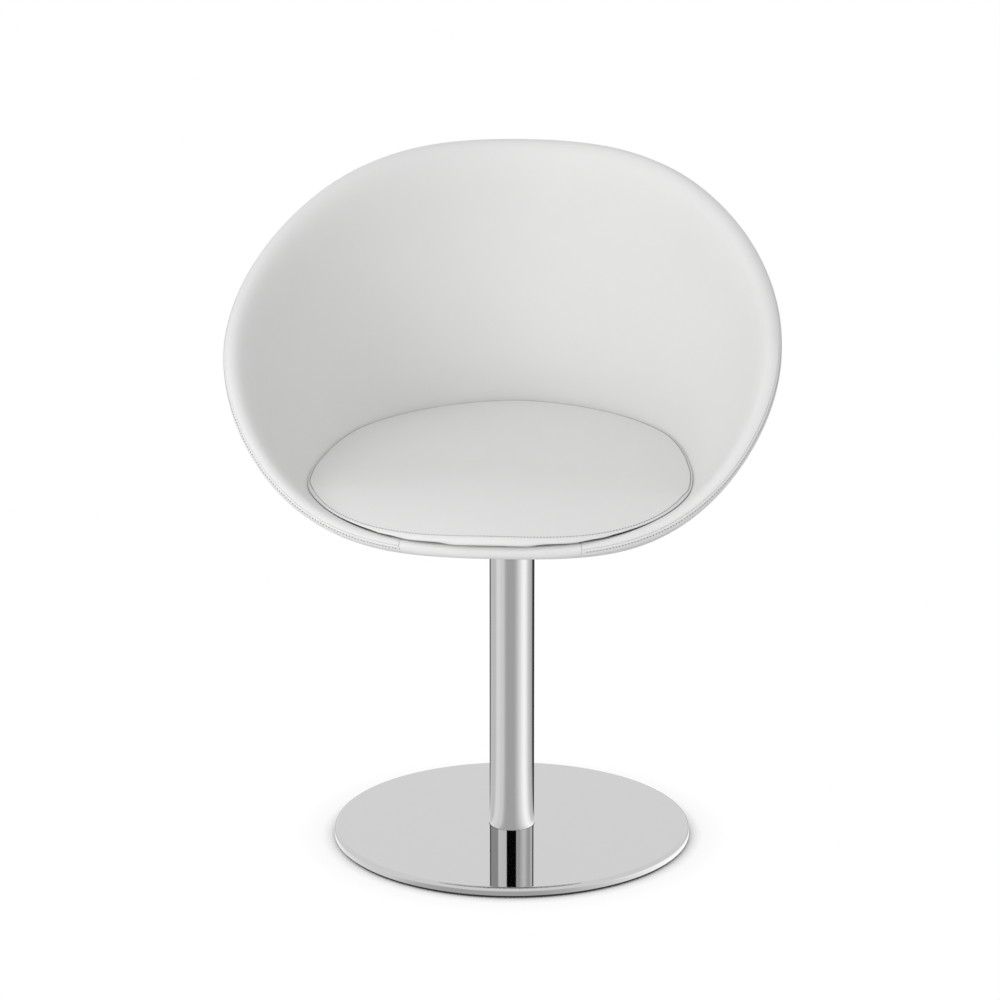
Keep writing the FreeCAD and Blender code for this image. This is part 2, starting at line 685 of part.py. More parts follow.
def layer_sides(section):
    """Sides between the layers, from the outer face inwards."""
    leather = size("leather")
    gap = size("layer_gap")
    padding = leather + gap
    foam = leather + size("outer_foam")
    core = foam + size("core_wall")
    even = tighten_inner(section.turn)
    slight = around(1, size("core_bend_side"), size("core_bend_back"), section.turn)
    bottom = size("wall_bottom")
    return {
        "outer": section.side(0, 0, 1),
        "behind_leather": section.side(leather, leather, 1),
        "padding": section.side(padding, padding, 1, gap),
        "behind_foam": section.side(foam - gap, foam - gap, 1, gap),
        "core_outside": section.side(foam, foam, 1, gap),
        "core_inside": section.side(core, core, slight, gap),
        "inner_padding": section.side(core + gap, core + gap, slight),
        "under_padding": section.side(bottom - padding, section.wall - padding, even),
        "under_cover": section.side(bottom - leather, section.wall - leather, even),
        "inner": section.side(bottom, section.wall, even),
    }


def band(section, outer, inner):
    """Closed wire between two sides, cut square at the rim."""
    return section.wire([outer, [outer[-1], inner[-1]], inner[::-1], [inner[0], outer[0]]])


def core_wire(section):
    """Moulded core."""
    sides = layer_sides(section)
    return band(section, sides["core_outside"], sides["core_inside"])


def outer_foam_wire(section):
    """Thin foam on the outside of the core."""
    sides = layer_sides(section)
    return band(section, sides["padding"], sides["behind_foam"])


def outer_cover_wire(section):
    """Leather on the outside, up to the stitched seam below the rolled edge."""
    sides = layer_sides(section)
    return band(section, sides["outer"], sides["behind_leather"])


def inner_foam_wire(section):
    """Thick foam inside the core, which rolls over the rim down to the seam."""
    sides = layer_sides(section)
    core, face = sides["inner_padding"], sides["under_padding"]
    under = size("leather") + size("layer_gap")
    start = section.rim + section.inwards * under
    roll = [start] + section.roll(section.wall / 2 - under)
    return section.wire([core, [core[-1], start], roll, face[::-1], [face[0], core[0]]])


def inner_cover_wire(section):
    """Leather on the inside, over the rolled edge and down to the seam."""
    sides = layer_sides(section)
    under, inner = sides["under_cover"], sides["inner"]
    roll_under = [sides["behind_leather"][-1]] + section.roll(section.wall / 2 - size("leather"))
    roll_over = [sides["outer"][-1]] + section.roll(section.wall / 2)
    return section.wire([under, roll_under[::-1], [roll_under[0], roll_over[0]], roll_over, inner[::-1],
                         [inner[0], under[0]]])


def front_panel_wire(section):
    """Leather strip that runs from below the seat over the front lip and in under the cushion."""
    sides = layer_sides(section)
    outer, behind = sides["outer"], sides["behind_leather"]
    under, inner = sides["under_cover"], sides["inner"]
    roll_under = [behind[-1]] + section.roll(section.wall / 2 - size("leather"))
    roll_over = [outer[-1]] + section.roll(section.wall / 2)
    return section.wire([outer, roll_over, inner[::-1], [inner[0], under[0]], under, roll_under[::-1],
                         behind[::-1], [behind[0], outer[0]]])


def wall_wire(section, gap):
    """Whole upholstered wall, grown by a gap all round."""
    outer = section.side(-gap, -gap, 1)
    inner = section.side(size("wall_bottom") + gap, section.wall + gap, tighten_inner(section.turn))
    roll = [outer[-1]] + section.roll(section.wall / 2 + gap)
    return section.wire([outer, roll, inner[::-1], [inner[0], outer[0]]])


def spread(first, last, count):
    """Equally spaced turns from the front, given and returned in degrees."""
    step = (last - first) / (count - 1)
    return [first + step * index for index in range(count)]


def loft(make_wire, turns, closed):
    """Solid through the sections at these turns, given in degrees."""
    return Part.makeLoft([make_wire(Section(math.radians(turn))) for turn in turns], True, False, closed)


def ring_loft(make_wire):
    """Solid all the way round the bucket, joined at the back."""
    edge = size("panel_half_angle")
    rest = spread(edge, FULL_TURN - edge, COVER_SECTION_COUNT)
    front = spread(-edge, edge, PANEL_SECTION_COUNT)[1:-1]
    back = len(rest) // 2
    return loft(make_wire, rest[back:] + front + rest[:back], True)


def disc(radius, low, high, x=0, y=0):
    """Plain cylinder between two heights."""
    return Part.makeCylinder(radius, high - low, Vector(x, y, low))


def largest_solid(shape):
    """The biggest solid of a boolean result."""
    return max(shape.Solids, key=lambda solid: solid.Volume)


def add_shape(label, shape):
    """Document object that holds a finished shape."""
    item = doc.addObject("Part::Feature", label)
    item.Label = label
    item.Shape = shape
    item.Placement = FreeCAD.Placement()
    return item


def make_shell_core():
    """Moulded core with a thick middle, drilled for the tee nuts."""
    low = size("underside_height")
    clear = size("boss_thickness")
    boss = disc(size("boss_diameter") / 2, low, value(BOSS_TOP))
    shape = largest_solid(ring_loft(core_wire).fuse(boss))
    for index in range(int(round(size("seat_screw_count")))):
        angle = 2 * math.pi * index / size("seat_screw_count")
        x = size("seat_screw_circle") / 2 * math.cos(angle)
        y = size("seat_screw_circle") / 2 * math.sin(angle)
        shape = shape.cut(disc(size("tee_nut_barrel") / 2, low - clear, value(BOSS_TOP) + clear, x, y))
    add_shape("shell_core", shape)


def lining_top():
    """Height of the lining disc's upper face."""
    return size("underside_height") + size("wall_bottom")


def boss_hole():
    """Space kept clear around the core's thick middle."""
    radius = size("boss_diameter") / 2 + size("boss_gap")
    return disc(radius, size("underside_height") - size("wall_bottom"), lining_top() + size("wall_bottom"))


def lining_space():
    """Space of the lining disc and everything above it."""
    low = lining_top() - size("leather")
    return disc(size("lining_diameter") / 2, low, low + size("wall_bottom"))


def make_padding():
    """Foam outside and inside the core."""
    add_shape("outer_foam", ring_loft(outer_foam_wire).cut(boss_hole()))
    add_shape("inner_foam", ring_loft(inner_foam_wire).cut(boss_hole()).cut(lining_space()))


def make_covers():
    """Leather outside, inside and over the front lip, and the lining under the cushion."""
    edge = size("panel_half_angle")
    seam = size("cover_seam_gap") / 2
    rest = spread(edge, FULL_TURN - edge, COVER_SECTION_COUNT)
    rest[0] += seam
    rest[-1] -= seam
    front = spread(-edge, edge, PANEL_SECTION_COUNT)
    front[0] += seam
    front[-1] -= seam
    add_shape("outer_cover", loft(outer_cover_wire, rest, False).cut(boss_hole()))
    add_shape("inner_cover", loft(inner_cover_wire, rest, False).cut(lining_space()))
    panel = loft(front_panel_wire, front, False)
    add_shape("front_panel", largest_solid(panel.cut(boss_hole()).cut(lining_space())))
    low = lining_top() - size("leather")
    add_shape("seat_lining", disc(size("lining_diameter") / 2, low, lining_top()))


def make_strips(label, low):
    """Two parallel strips across the seat."""
    strips = []
    length = size("strip_length")
    width = size("strip_width")
    for side in (-1, 1):
        corner = Vector(-length / 2, (side * size("strip_spacing") - width) / 2, low)
        strips.append(Part.makeBox(length, width, size("strip_thickness"), corner))
    add_shape(label, Part.makeCompound(strips))


# Loose seat cushion: a loft through upright sections across the chair, fitted to the bucket


def cushion_bottom():
    """Height of the cushion's underside over the strips."""
    return lining_top() + 2 * size("strip_thickness") + size("soft_gap")


def cushion_half_width(y):
    """Half width of the cushion's plan at this place."""
    middle = size("cushion_widest_y")
    if y < middle:
        share = (middle - y) / (middle - size("cushion_front_y"))
        power = size("cushion_front_fullness")
    else:
        share = (y - middle) / (size("cushion_back_y") - middle)
        power = size("cushion_back_fullness")
    return size("cushion_half_width") * (1 - share ** power) ** (1 / power)


def cushion_top(y):
    """Height of the cushion's middle line."""
    highest = cushion_bottom() + size("cushion_height")
    start = size("waterfall_y")
    if y < start:
        share = (start - y) / (start - size("cushion_front_y"))
        return highest - size("cushion_front_drop") * share ** size("waterfall_power")
    share = (y - start) / (size("cushion_back_y") - start)
    return highest - size("cushion_back_drop") * share * share


def cushion_wire(y, inset):
    """Upright section: level bottom, bulging sides drawn in at the seams, and a crowned top."""
    half = cushion_half_width(y) - inset
    share = half / size("cushion_half_width")
    middle = cushion_top(y) - inset
    seam = middle - size("cushion_crown") * share
    low = cushion_bottom() + inset
    drawn = half - size("cushion_draw_in") * share
    places = [(-drawn, low), (drawn, low), (half, (low + seam) / 2), (drawn, seam), (0, middle),
              (-drawn, seam), (-half, (low + seam) / 2)]
    points = [Vector(x, y, z) for x, z in places]
    return Part.Wire([
        Part.makeLine(points[0], points[1]),
        Part.Arc(points[1], points[2], points[3]).toShape(),
        Part.Arc(points[3], points[4], points[5]).toShape(),
        Part.Arc(points[5], points[6], points[0]).toShape(),
    ])


def cushion_solid(inset):
    """Cushion shrunk by an inset, clear of the bucket by the soft gap and the inset."""
    middle = size("cushion_widest_y")
    front = middle - (middle - size("cushion_front_y")) * NARROW_END
    back = middle + (size("cushion_back_y") - middle) * NARROW_END
    wires = []
    for index in range(CUSHION_SECTION_COUNT):
        swing = (1 - math.cos(math.pi * index / (CUSHION_SECTION_COUNT - 1))) / 2
        y = front + inset + (back - front - 2 * inset) * swing
        wires.append(cushion_wire(y, inset))
    block = Part.makeLoft(wires, True, False, False)
    gap = size("soft_gap") + inset
    wall = ring_loft(lambda section: wall_wire(section, gap))
    return largest_solid(block.cut(wall))


def make_cushion():
    """Foam filling and its leather cover."""
    outside = cushion_solid(0)
    filling = cushion_solid(size("cushion_leather"))
    add_shape("cushion_cover", outside.cut(filling))
    add_shape("cushion_foam", filling)


make_base_cover()
make_ballast_plate()
make_floor_pad()
make_column_tube()
make_foot_plug()
make_column_screws()
make_bushes()
make_thrust_washer()
make_spindle()
make_retaining_clip()
make_seat_plate()
make_plate_fasteners()
make_shell_core()
make_padding()
make_covers()
make_strips("seat_hook_strips", lining_top())
make_strips("cushion_loop_strips", cushion_bottom() - size("strip_thickness"))
make_cushion()
doc.recompute()

NODES = [
    "base_cover", "ballast_plate", "floor_pad", "column_tube", "column_foot_plug", "column_screws",
    "upper_bush", "lower_bush", "thrust_washer", "swivel_spindle", "retaining_clip", "mounting_plate",
    "seat_screws", "seat_washers", "tee_nuts", "shell_core", "outer_foam", "inner_foam", "outer_cover",
    "inner_cover", "front_panel", "seat_lining", "seat_hook_strips", "cushion_foam", "cushion_cover",
    "cushion_loop_strips",
]

for item in doc.Objects:
    for state in item.State:
        if state in ("Invalid", "Error"):
            raise RuntimeError("%s is %s" % (item.Name, state))

pieces = {}
for label in NODES:
    piece = doc.getObjectsByLabel(label)[0]
    if piece.Shape.isNull() or not piece.Shape.isValid() or piece.Shape.Volume <= 0:
        raise RuntimeError("%s has no sound shape" % label)
    pieces[label] = piece

os.makedirs("parts", exist_ok=True)
for label, piece in pieces.items():
    piece.Shape.exportStep("parts/%s.step" % label)
    print("%-20s solids %d volume %10.0f" % (label, len(piece.Shape.Solids), piece.Shape.Volume))
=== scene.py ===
"""Looks of a pedestal swivel armchair: leather bucket, loose cushion, polished column and disc."""

import math

import bpy
import numpy as np
from bpy.props import FloatProperty, FloatVectorProperty, IntProperty, PointerProperty
from mathutils import Matrix, Vector


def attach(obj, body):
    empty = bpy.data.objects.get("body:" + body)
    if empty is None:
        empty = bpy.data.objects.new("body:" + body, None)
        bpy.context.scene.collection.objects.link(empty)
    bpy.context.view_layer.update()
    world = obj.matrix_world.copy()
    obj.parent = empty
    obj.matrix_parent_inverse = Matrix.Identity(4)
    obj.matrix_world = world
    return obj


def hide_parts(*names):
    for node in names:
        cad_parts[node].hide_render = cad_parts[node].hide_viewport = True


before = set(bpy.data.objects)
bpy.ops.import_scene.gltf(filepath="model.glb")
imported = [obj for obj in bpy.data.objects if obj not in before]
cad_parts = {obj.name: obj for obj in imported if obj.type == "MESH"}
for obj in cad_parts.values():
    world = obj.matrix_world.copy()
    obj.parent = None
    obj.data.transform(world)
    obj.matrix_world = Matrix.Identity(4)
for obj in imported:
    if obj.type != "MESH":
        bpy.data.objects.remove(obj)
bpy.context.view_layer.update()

bl_info = {
    "name": "Pedestal armchair looks",
    "version": (1, 0, 0),
    "blender": (4, 5, 0),
    "location": "View3D > Sidebar > Armchair",
    "description": "Upholstery, stitching, polished metal and studio of a pedestal swivel armchair",
    "category": "Object",
}


# Properties


def length(name, default, description):
    """Property for a length in metres."""
    return FloatProperty(name=name, description=description, default=default, unit="LENGTH", precision=5)


def angle(name, degrees, description):
    """Property for an angle, given in degrees and kept in radians."""
    return FloatProperty(name=name, description=description, default=math.radians(degrees), subtype="ANGLE")


def number(name, default, description):
    """Property for a plain number."""
    return FloatProperty(name=name, description=description, default=default, precision=4)


def share(name, default, description):
    """Property for a share between 0 and 1."""
    return FloatProperty(name=name, description=description, default=default, min=0, max=1, subtype="FACTOR")


def colour(name, default, description):
    """Property for a colour."""
    return FloatVectorProperty(name=name, description=description, default=default, size=3, min=0, max=1,
                               subtype="COLOR")


class BucketSizes(bpy.types.PropertyGroup):
    """Shape of the upholstered bucket."""

    underside: length("Underside", 0.379, "Lowest part of the bucket above the floor")
    half_width: length("Half width", 0.297, "Half of the rim's widest place")
    widest_y: length("Widest place", -0.1518, "Where the rim is widest")
    front_reach: length("Front reach", 0.1745, "From the widest place to the front lip")
    back_reach: length("Back reach", 0.3511, "From the widest place to the top of the back")
    front_power: number("Front fullness", 2.36, "Fullness of the rim's front curve from above")
    back_power: number("Back fullness", 1.92, "Fullness of the rim's rear curve from above")
    mid_rise: length("Middle rise", 0.2189, "Middle of the rim over the underside")
    half_rise: length("Half rise", 0.1627, "Half of the climb from the front lip to the back")
    rise_shift: number("Rise shift", 0.073, "Share that lifts the arms")
    rise_fullness: number("Rise fullness", -0.023, "Share that steepens the climb to the arms")
    rise_crest: number("Rise crest", -0.021, "Share that levels the top of the back")
    lean_front: angle("Front lean", 19.5, "Slope of the wall at the front lip")
    lean_side: angle("Side lean", 77.9, "Slope of the wall at the arms")
    lean_back: angle("Back lean", 85.8, "Slope of the wall at the top of the back")
    bend_front: number("Front bend", 0.77, "Where the wall's two arcs meet, at the front")
    bend_side: number("Side bend", 0.82, "Where the wall's two arcs meet, at the arms")
    bend_back: number("Back bend", 1.2, "Where the wall's two arcs meet, at the back")
    inner_side: number("Inner side bend", 1.15, "How much tighter the inner face bends at the arms")
    inner_back: number("Inner back bend", 1.35, "How much tighter the inner face bends at the back")
    wall_side: length("Side wall", 0.034, "Upholstered wall at the arms and back")
    wall_front: length("Front wall", 0.015, "Upholstered wall at the front lip")
    wall_bottom: length("Bottom wall", 0.026, "Upholstered wall around the bottom opening")
    opening: length("Opening", 0.062, "Radius of the opening around the pole")
    under_trim: length("Under trim", 0.010, "From the opening to the leather's edge over the seat plate")
    lining_trim: length("Lining trim", 0.018, "From the opening to the leather's edge at the lining")
    panel_angle: angle("Front panel", 15, "Half of the front panel's sector")
    seam_front: angle("Front seam", 74, "How far the outer leather goes round the rolled edge in front")
    seam_side: angle("Side seam", 46, "How far the outer leather goes round the rolled edge elsewhere")
    soft_edge: length("Soft edge", 0.040, "How far down the inner face the rolled edge is blended")
    leather: length("Leather", 0.0015, "Thickness of the leather")
    fold: length("Fold", 0.0013, "Rounding of the leather where it turns into a seam")
    tuck: length("Tuck", 0.004, "How deep the turned-in leather goes")


class CushionSizes(bpy.types.PropertyGroup):
    """Shape of the loose seat cushion."""

    half_width: length("Half width", 0.212, "Half of the cushion's widest place")
    widest_y: length("Widest place", -0.160, "Where the cushion is widest")
    front_y: length("Front", -0.339, "Front face of the cushion")
    back_y: length("Back", 0.136, "Rear end of the cushion")
    front_power: number("Front fullness", 2.5, "Fullness of the front corners")
    back_power: number("Back fullness", 2.1, "Fullness of the rear curve")
    bottom: length("Bottom", 0.4079, "Underside of the cushion above the floor")
    top: length("Top", 0.4815, "Highest line of the cushion above the floor")
    front_drop: length("Front drop", 0.027, "Fall of the top towards its front seam")
    back_drop: length("Back drop", 0.011, "Fall of the top towards the back")
    waterfall_y: length("Waterfall", -0.228, "Where the top starts to fall forwards")
    waterfall_power: number("Waterfall power", 1.2, "How late the front falls off")
    crown: length("Crown", 0.009, "Rise of the middle over the side seams")
    draw_in: length("Draw in", 0.004, "How far the seams are drawn in from the sides")
    clear: length("Clearance", 0.0012, "Least gap to the bucket's inner face")
    swell: length("Swell", 0.006, "Most that the filling pushes the leather out")
    pressure: number("Pressure", 4, "Pressure of the filling while the cover is stretched")
    frames: IntProperty(name="Steps", description="Steps of the cover's stretching", default=18, min=1, max=60)


class StitchSizes(bpy.types.PropertyGroup):
    """Stitches beside the seams."""

    pitch: length("Pitch", 0.0034, "From one stitch to the next")
    thread: length("Thread", 0.00075, "Thickness of the thread")
    stitch: length("Stitch length", 0.0023, "Seen part of a stitch")
    # A needle hole is drawn as a dark bead of painted shade; this is the bead's width.
    hole: length("Needle hole", 0.0015, "Width of a needle hole")
    inset: length("Seam distance", 0.0032, "From the seam to the stitches")


class BaseSizes(bpy.types.PropertyGroup):
    """Polished disc and column."""

    disc_radius: length("Disc radius", 0.2, "Outside of the disc")
    disc_top: length("Disc top", 0.012, "Height of the disc's face")
    disc_low: length("Disc edge", 0.003, "Lower edge of the disc's skirt")
    disc_round: length("Disc rounding", 0.0045, "Rounding of the disc's upper rim")
    sheet: length("Sheet", 0.0015, "Thickness of the disc's cover")
    hole_gap: length("Hole gap", 0.0002, "Gap between column and disc")
    column_radius: length("Column radius", 0.025, "Outside of the column")
    column_wall: length("Column wall", 0.0025, "Wall of the column")
    column_low: length("Column foot", 0.0105, "Lower end of the column")
    column_top: length("Column top", 0.354, "Upper end of the column")
    chamfer: length("Chamfer", 0.0005, "Chamfer at the top of the column")
    facets: IntProperty(name="Facets", description="Facets around the disc and column", default=192, min=24)


class Finishes(bpy.types.PropertyGroup):
    """Colours of the visible finishes."""

    leather: colour("Leather", (0.80, 0.80, 0.795), "White leather")
    leather_roughness: share("Leather roughness", 0.47, "Gloss of the leather")
    chrome: colour("Polished metal", (0.585, 0.585, 0.59), "Polished metal")
    thread: colour("Thread", (0.74, 0.74, 0.73), "Sewing thread")
    # Dark grey of the needle-hole beads: painted shade standing in for the shadow inside the holes.
    hole: colour("Needle hole shade", (0.26, 0.26, 0.26), "Needle hole shade")
    lining: colour("Lining", (0.030, 0.030, 0.032), "Woven lining")
    rubber: colour("Rubber", (0.030, 0.030, 0.032), "Floor pad")


class StageSizes(bpy.types.PropertyGroup):
    """Camera, light and floor."""

    azimuth: angle("Azimuth", 4.11, "Camera's turn round to the right")
    elevation: angle("Elevation", 17.234, "Camera's height above the horizon")
    distance: length("Distance", 5.5, "Camera to target")
    lens: number("Lens", 178.968, "Focal length on a 36 mm sensor")
    target: FloatVectorProperty(name="Target", description="Point in the middle of the view", size=3,
                                default=(-0.01333, -0.00096, 0.39349), unit="LENGTH")
    ambient: number("Ambient", 0.79, "Soft light from all round")
    front: number("Front light", 18, "Large soft light low in front, in watts")
    key: number("Key light", 11, "Large soft light high on the left and in front, in watts")


# Meshes


def new_mesh_object(name, points, faces, smooth=True):
    """Object at the origin from points and faces."""
    mesh = bpy.data.meshes.new(name)
    mesh.from_pydata([tuple(point) for point in points], [], faces)
    mesh.update()
    if smooth:
        mesh.shade_smooth()
    item = bpy.data.objects.new(name, mesh)
    bpy.context.scene.collection.objects.link(item)
    return item


def grid_faces(rows, columns, closed=False):
    """Faces of a grid of points kept row by row."""
    faces = []
    last = columns if closed else columns - 1
    for row in range(rows - 1):
        for column in range(last):
            right = (column + 1) % columns
            low, high = row * columns, (row + 1) * columns
            faces.append((low + column, low + right, high + right, high + column))
    return faces


def bake_modifiers(item):
    """Turn the evaluated object into its plain mesh and drop the modifiers."""
    depsgraph = bpy.context.evaluated_depsgraph_get()
    mesh = bpy.data.meshes.new_from_object(item.evaluated_get(depsgraph), depsgraph=depsgraph)
    item.modifiers.clear()
    item.data = mesh


def set_material(item, material):
    """Give an object one material."""
    item.data.materials.clear()
    item.data.materials.append(material)


def turned_object(name, profile, facets):
    """Closed ring turned about the column's axis from a closed profile of (radius, height)."""
    rings = len(profile)
    points = []
    for radius, height in profile:
        for index in range(facets):
            turn = 2 * math.pi * index / facets
            points.append((radius * math.cos(turn), radius * math.sin(turn), height))
    faces = grid_faces(rings, facets, closed=True)
    last = (rings - 1) * facets
    for index in range(facets):
        right = (index + 1) % facets
        faces.append((last + index, last + right, right, index))
    return new_mesh_object(name, points, faces)


# Shape of the bucket. Cuts are upright and hold the column's axis. A point of a cut is a complex
# number: distance from the axis, and height.


SIDE_SHARES = np.linspace(0, 1, 25)
ROLL_STEPS = 32
OVER_LIP = 0.06 + 0.004j  # from the crest of the rolled edge to a point outside, so a cushion may lie over it
HIGHEST_CUSHION = 0.56


def around(front, side, back, turns):
    """Value that goes smoothly from the front through the sides to the back."""
    swing = np.cos(turns)
    return side + (front - back) / 2 * swing + ((front + back) / 2 - side) * swing ** 2


def signed_power(values, power):
    """Swing between -1 and 1, squared off by the power."""
    return np.sign(values) * np.abs(values) ** (2 / power)


def dot(first, second):
    """Dot product of two complex numbers."""
    return (first * np.conj(second)).real


def arc_points(start, direction, end, shares):
    """Points along arcs that leave start in this direction and reach end."""
    chord = end - start
    half = np.angle(chord / direction)
    half = np.where(np.abs(half) < 1e-7, 1e-7, half)
    swept = np.outer(half, shares)
    reach = (np.abs(chord) / np.sin(half))[:, None] * np.sin(swept)
    return start[:, None] + direction[:, None] * reach * np.exp(1j * swept)


class Cuts:
    """Upright cuts through the bucket's wall at several turns from the front."""

    def __init__(self, sizes, turns):
        self.sizes = sizes
        forwards = np.cos(turns)
        ahead = forwards > 0
        power = np.where(ahead, sizes.front_power, sizes.back_power)
        reach = np.where(ahead, sizes.front_reach, sizes.back_reach)
        place = (sizes.half_width * signed_power(np.sin(turns), power)
                 + 1j * (sizes.widest_y - reach * signed_power(forwards, power)))
        climb = (forwards + sizes.rise_shift * np.cos(2 * turns) + sizes.rise_fullness * np.cos(3 * turns)
                 + sizes.rise_crest * np.cos(5 * turns))
        self.heading = place / np.abs(place)
        self.rim = np.abs(place) + 1j * (sizes.underside + sizes.mid_rise - sizes.half_rise * climb)
        self.up = np.exp(1j * around(sizes.lean_front, sizes.lean_side, sizes.lean_back, turns))
        self.inwards = self.up * 1j
        self.bend = around(sizes.bend_front, sizes.bend_side, sizes.bend_back, turns)
        self.even = around(1, sizes.inner_side, sizes.inner_back, turns)
        near_front = ((1 + forwards) / 2) ** 2
        self.wall = sizes.wall_side - (sizes.wall_side - sizes.wall_front) * near_front

    def side(self, bottom_depth, rim_depth, tighten):
        """Points of a side at these depths from the outer face, from the opening to the rim."""
        bend = self.bend * tighten
        start = np.full(self.rim.shape, self.sizes.opening + 1j * (self.sizes.underside + bottom_depth))
        end = self.rim + self.inwards * rim_depth
        chord = end - start
        square = 2 * bend * (self.up.real - 1)
        linear = -2 * (chord.real + bend * dot(chord, self.up))
        root = np.sqrt(linear ** 2 - 4 * square * np.abs(chord) ** 2)
        first = (-linear - root) / (2 * square)
        second = first * bend
        join = ((start + first) * second + (end - self.up * second) * first) / (first + second)
        low = arc_points(start, np.ones_like(start), join, SIDE_SHARES)
        high = arc_points(end, -self.up, join, SIDE_SHARES)[:, ::-1]
        return np.hstack([low, high[:, 1:]])

    def inner_side(self):
        """Points of the inner face, from the lining to the rim."""
        return self.side(self.sizes.wall_bottom, self.wall, self.even)

    def outline(self):
        """Points up the outer face, over the rolled edge and down the inner face."""
        swing = np.linspace(0, math.pi, ROLL_STEPS + 1)[1:-1]
        centre = self.rim + self.inwards * self.wall / 2
        spoke = self.up[:, None] * np.sin(swing) - self.inwards[:, None] * np.cos(swing)
        roll = centre[:, None] + spoke * (self.wall / 2)[:, None]
        inner = self.inner_side()[:, ::-1]
        return np.hstack([self.side(0, 0, 1), roll[:, :ROLL_STEPS // 2], self.soft_edge(roll, inner)])

    def soft_edge(self, roll, inner):
        """Blend from the top of the rolled edge into the inner face, in one soft curve."""
        top = roll[:, ROLL_STEPS // 2 - 1]
        reach = self.sizes.soft_edge * self.wall / self.sizes.wall_side
        found = np.empty_like(inner)
        part = np.linspace(0, 1, 22)[1:]
        blend = []
        for index, side in enumerate(inner):
            walked = np.concatenate([[0], np.cumsum(np.abs(np.diff(side)))])
            rest = np.linspace(reach[index], walked[-1], len(side))
            found[index] = np.interp(rest, walked, side.real) + 1j * np.interp(rest, walked, side.imag)
            away = found[index, 1] - found[index, 0]
            away = away / abs(away)
            ends = (top[index], top[index] + self.inwards[index] * self.wall[index] * 0.42,
                    found[index, 0] - away * reach[index] * 0.62, found[index, 0])
            first, second, third, fourth = ends
            blend.append(first * (1 - part) ** 3 + 3 * second * part * (1 - part) ** 2
                         + 3 * third * part ** 2 * (1 - part) + fourth * part ** 3)
        return np.hstack([np.array(blend), found[:, 1:]])


class Skin:
    """Outer surface of the whole wall, found by turn and by distance along its cut."""

    def __init__(self, sizes, turns):
        self.cuts = Cuts(sizes, turns)
        self.points = self.cuts.outline()
        steps = np.abs(np.diff(self.points, axis=1))
        self.distances = np.hstack([np.zeros((len(turns), 1)), np.cumsum(steps, axis=1)])
        self.total = self.distances[:, -1]
        outer = 2 * len(SIDE_SHARES) - 2
        place = outer + ROLL_STEPS * around(sizes.seam_front, sizes.seam_side, sizes.seam_side, turns) / math.pi
        low = place.astype(int)
        part = place - low
        row = np.arange(len(turns))
        self.seam = self.distances[row, low] * (1 - part) + self.distances[row, low + 1] * part

    def at(self, distances):
        """Points of the cuts at these distances."""
        found = np.empty(len(distances), dtype=complex)
        for index, distance in enumerate(distances):
            found[index] = (np.interp(distance, self.distances[index], self.points[index].real)
                            + 1j * np.interp(distance, self.distances[index], self.points[index].imag))
        return found

    def place(self, distances, depths):
        """Places in space at these distances, sunk by these depths."""
        near = 0.0006
        points = self.at(distances)
        along = self.at(distances + near) - self.at(distances - near)
        outwards = -1j * along / np.abs(along)
        sunk = points - outwards * depths
        flat = sunk.real * self.cuts.heading
        return np.stack([flat.real, flat.imag, sunk.imag], axis=1)


def fold_lines(count, folded_low, folded_high, sizes):
    """Lines across a piece as (share, inset, depth), close together where its edge is folded in."""
    fold = sizes.fold
    folds = [(0, sizes.tuck), (0, fold)]
    for part in (0.08, 0.3, 0.62, 1, 2.5):
        depth = fold * (1 - math.sqrt(1 - (1 - min(part, 1)) ** 2))
        folds.append((fold * part, depth))
    low = [(0, inset, depth) for inset, depth in folds] if folded_low else [(0, 0, 0)]
    high = [(1, inset, depth) for inset, depth in reversed(folds)] if folded_high else [(1, 0, 0)]
    middle = [(index / count, None, 0) for index in range(1, count)]
    return low + middle + high


def line_place(line, low, high, low_inset, high_inset):
    """Where a line lies between two ends."""
    part, inset, _ = line
    if inset is None:
        start = low + low_inset
        return start + part * (high - high_inset - start)
    if part == 0:
        return low + inset
    return high - inset


def skin_piece(name, sizes, turns, span, folded_span, columns, rows):
    """Leather piece between two turns and two distances along the cuts."""
    last_inset = 2.5 * sizes.fold
    across = fold_lines(columns, True, True, sizes)
    along = fold_lines(rows, folded_span[0], folded_span[1], sizes)
    low_inset = last_inset if folded_span[0] else 0
    high_inset = last_inset if folded_span[1] else 0
    edge = Skin(sizes, np.array([turns[0]]))
    points = []
    for line in along:
        low, high = span(edge)
        reach = edge.at(line_place(line, low, high, low_inset, high_inset))[0].real
        inset = last_inset / reach
        row_turns = []
        for column in across:
            scaled = column if column[1] is None else (column[0], column[1] / reach, 0)
            row_turns.append(line_place(scaled, turns[0], turns[1], inset, inset))
        skin = Skin(sizes, np.array(row_turns))
        low, high = span(skin)
        distances = line_place(line, low, high, low_inset, high_inset)
        depths = np.array([max(line[2], column[2]) for column in across])
        points.extend(skin.place(distances, depths))
    item = new_mesh_object(name, points, grid_faces(len(along), len(across)))
    thick = item.modifiers.new("leather", "SOLIDIFY")
    thick.thickness = sizes.leather
    thick.offset = -1
    bake_modifiers(item)
    item.data.shade_smooth()
    return item


def under_to_seam(skin):
    """Distances from the edge under the seat to the seam on the rolled edge."""
    return np.full(skin.total.shape, skin.cuts.sizes.under_trim), skin.seam


def seam_to_lining(skin):
    """Distances from the seam on the rolled edge to the lining."""
    return skin.seam, skin.total - skin.cuts.sizes.lining_trim


def under_to_lining(skin):
    """Distances from the edge under the seat over the lip to the lining."""
    sizes = skin.cuts.sizes
    return np.full(skin.total.shape, sizes.under_trim), skin.total - sizes.lining_trim


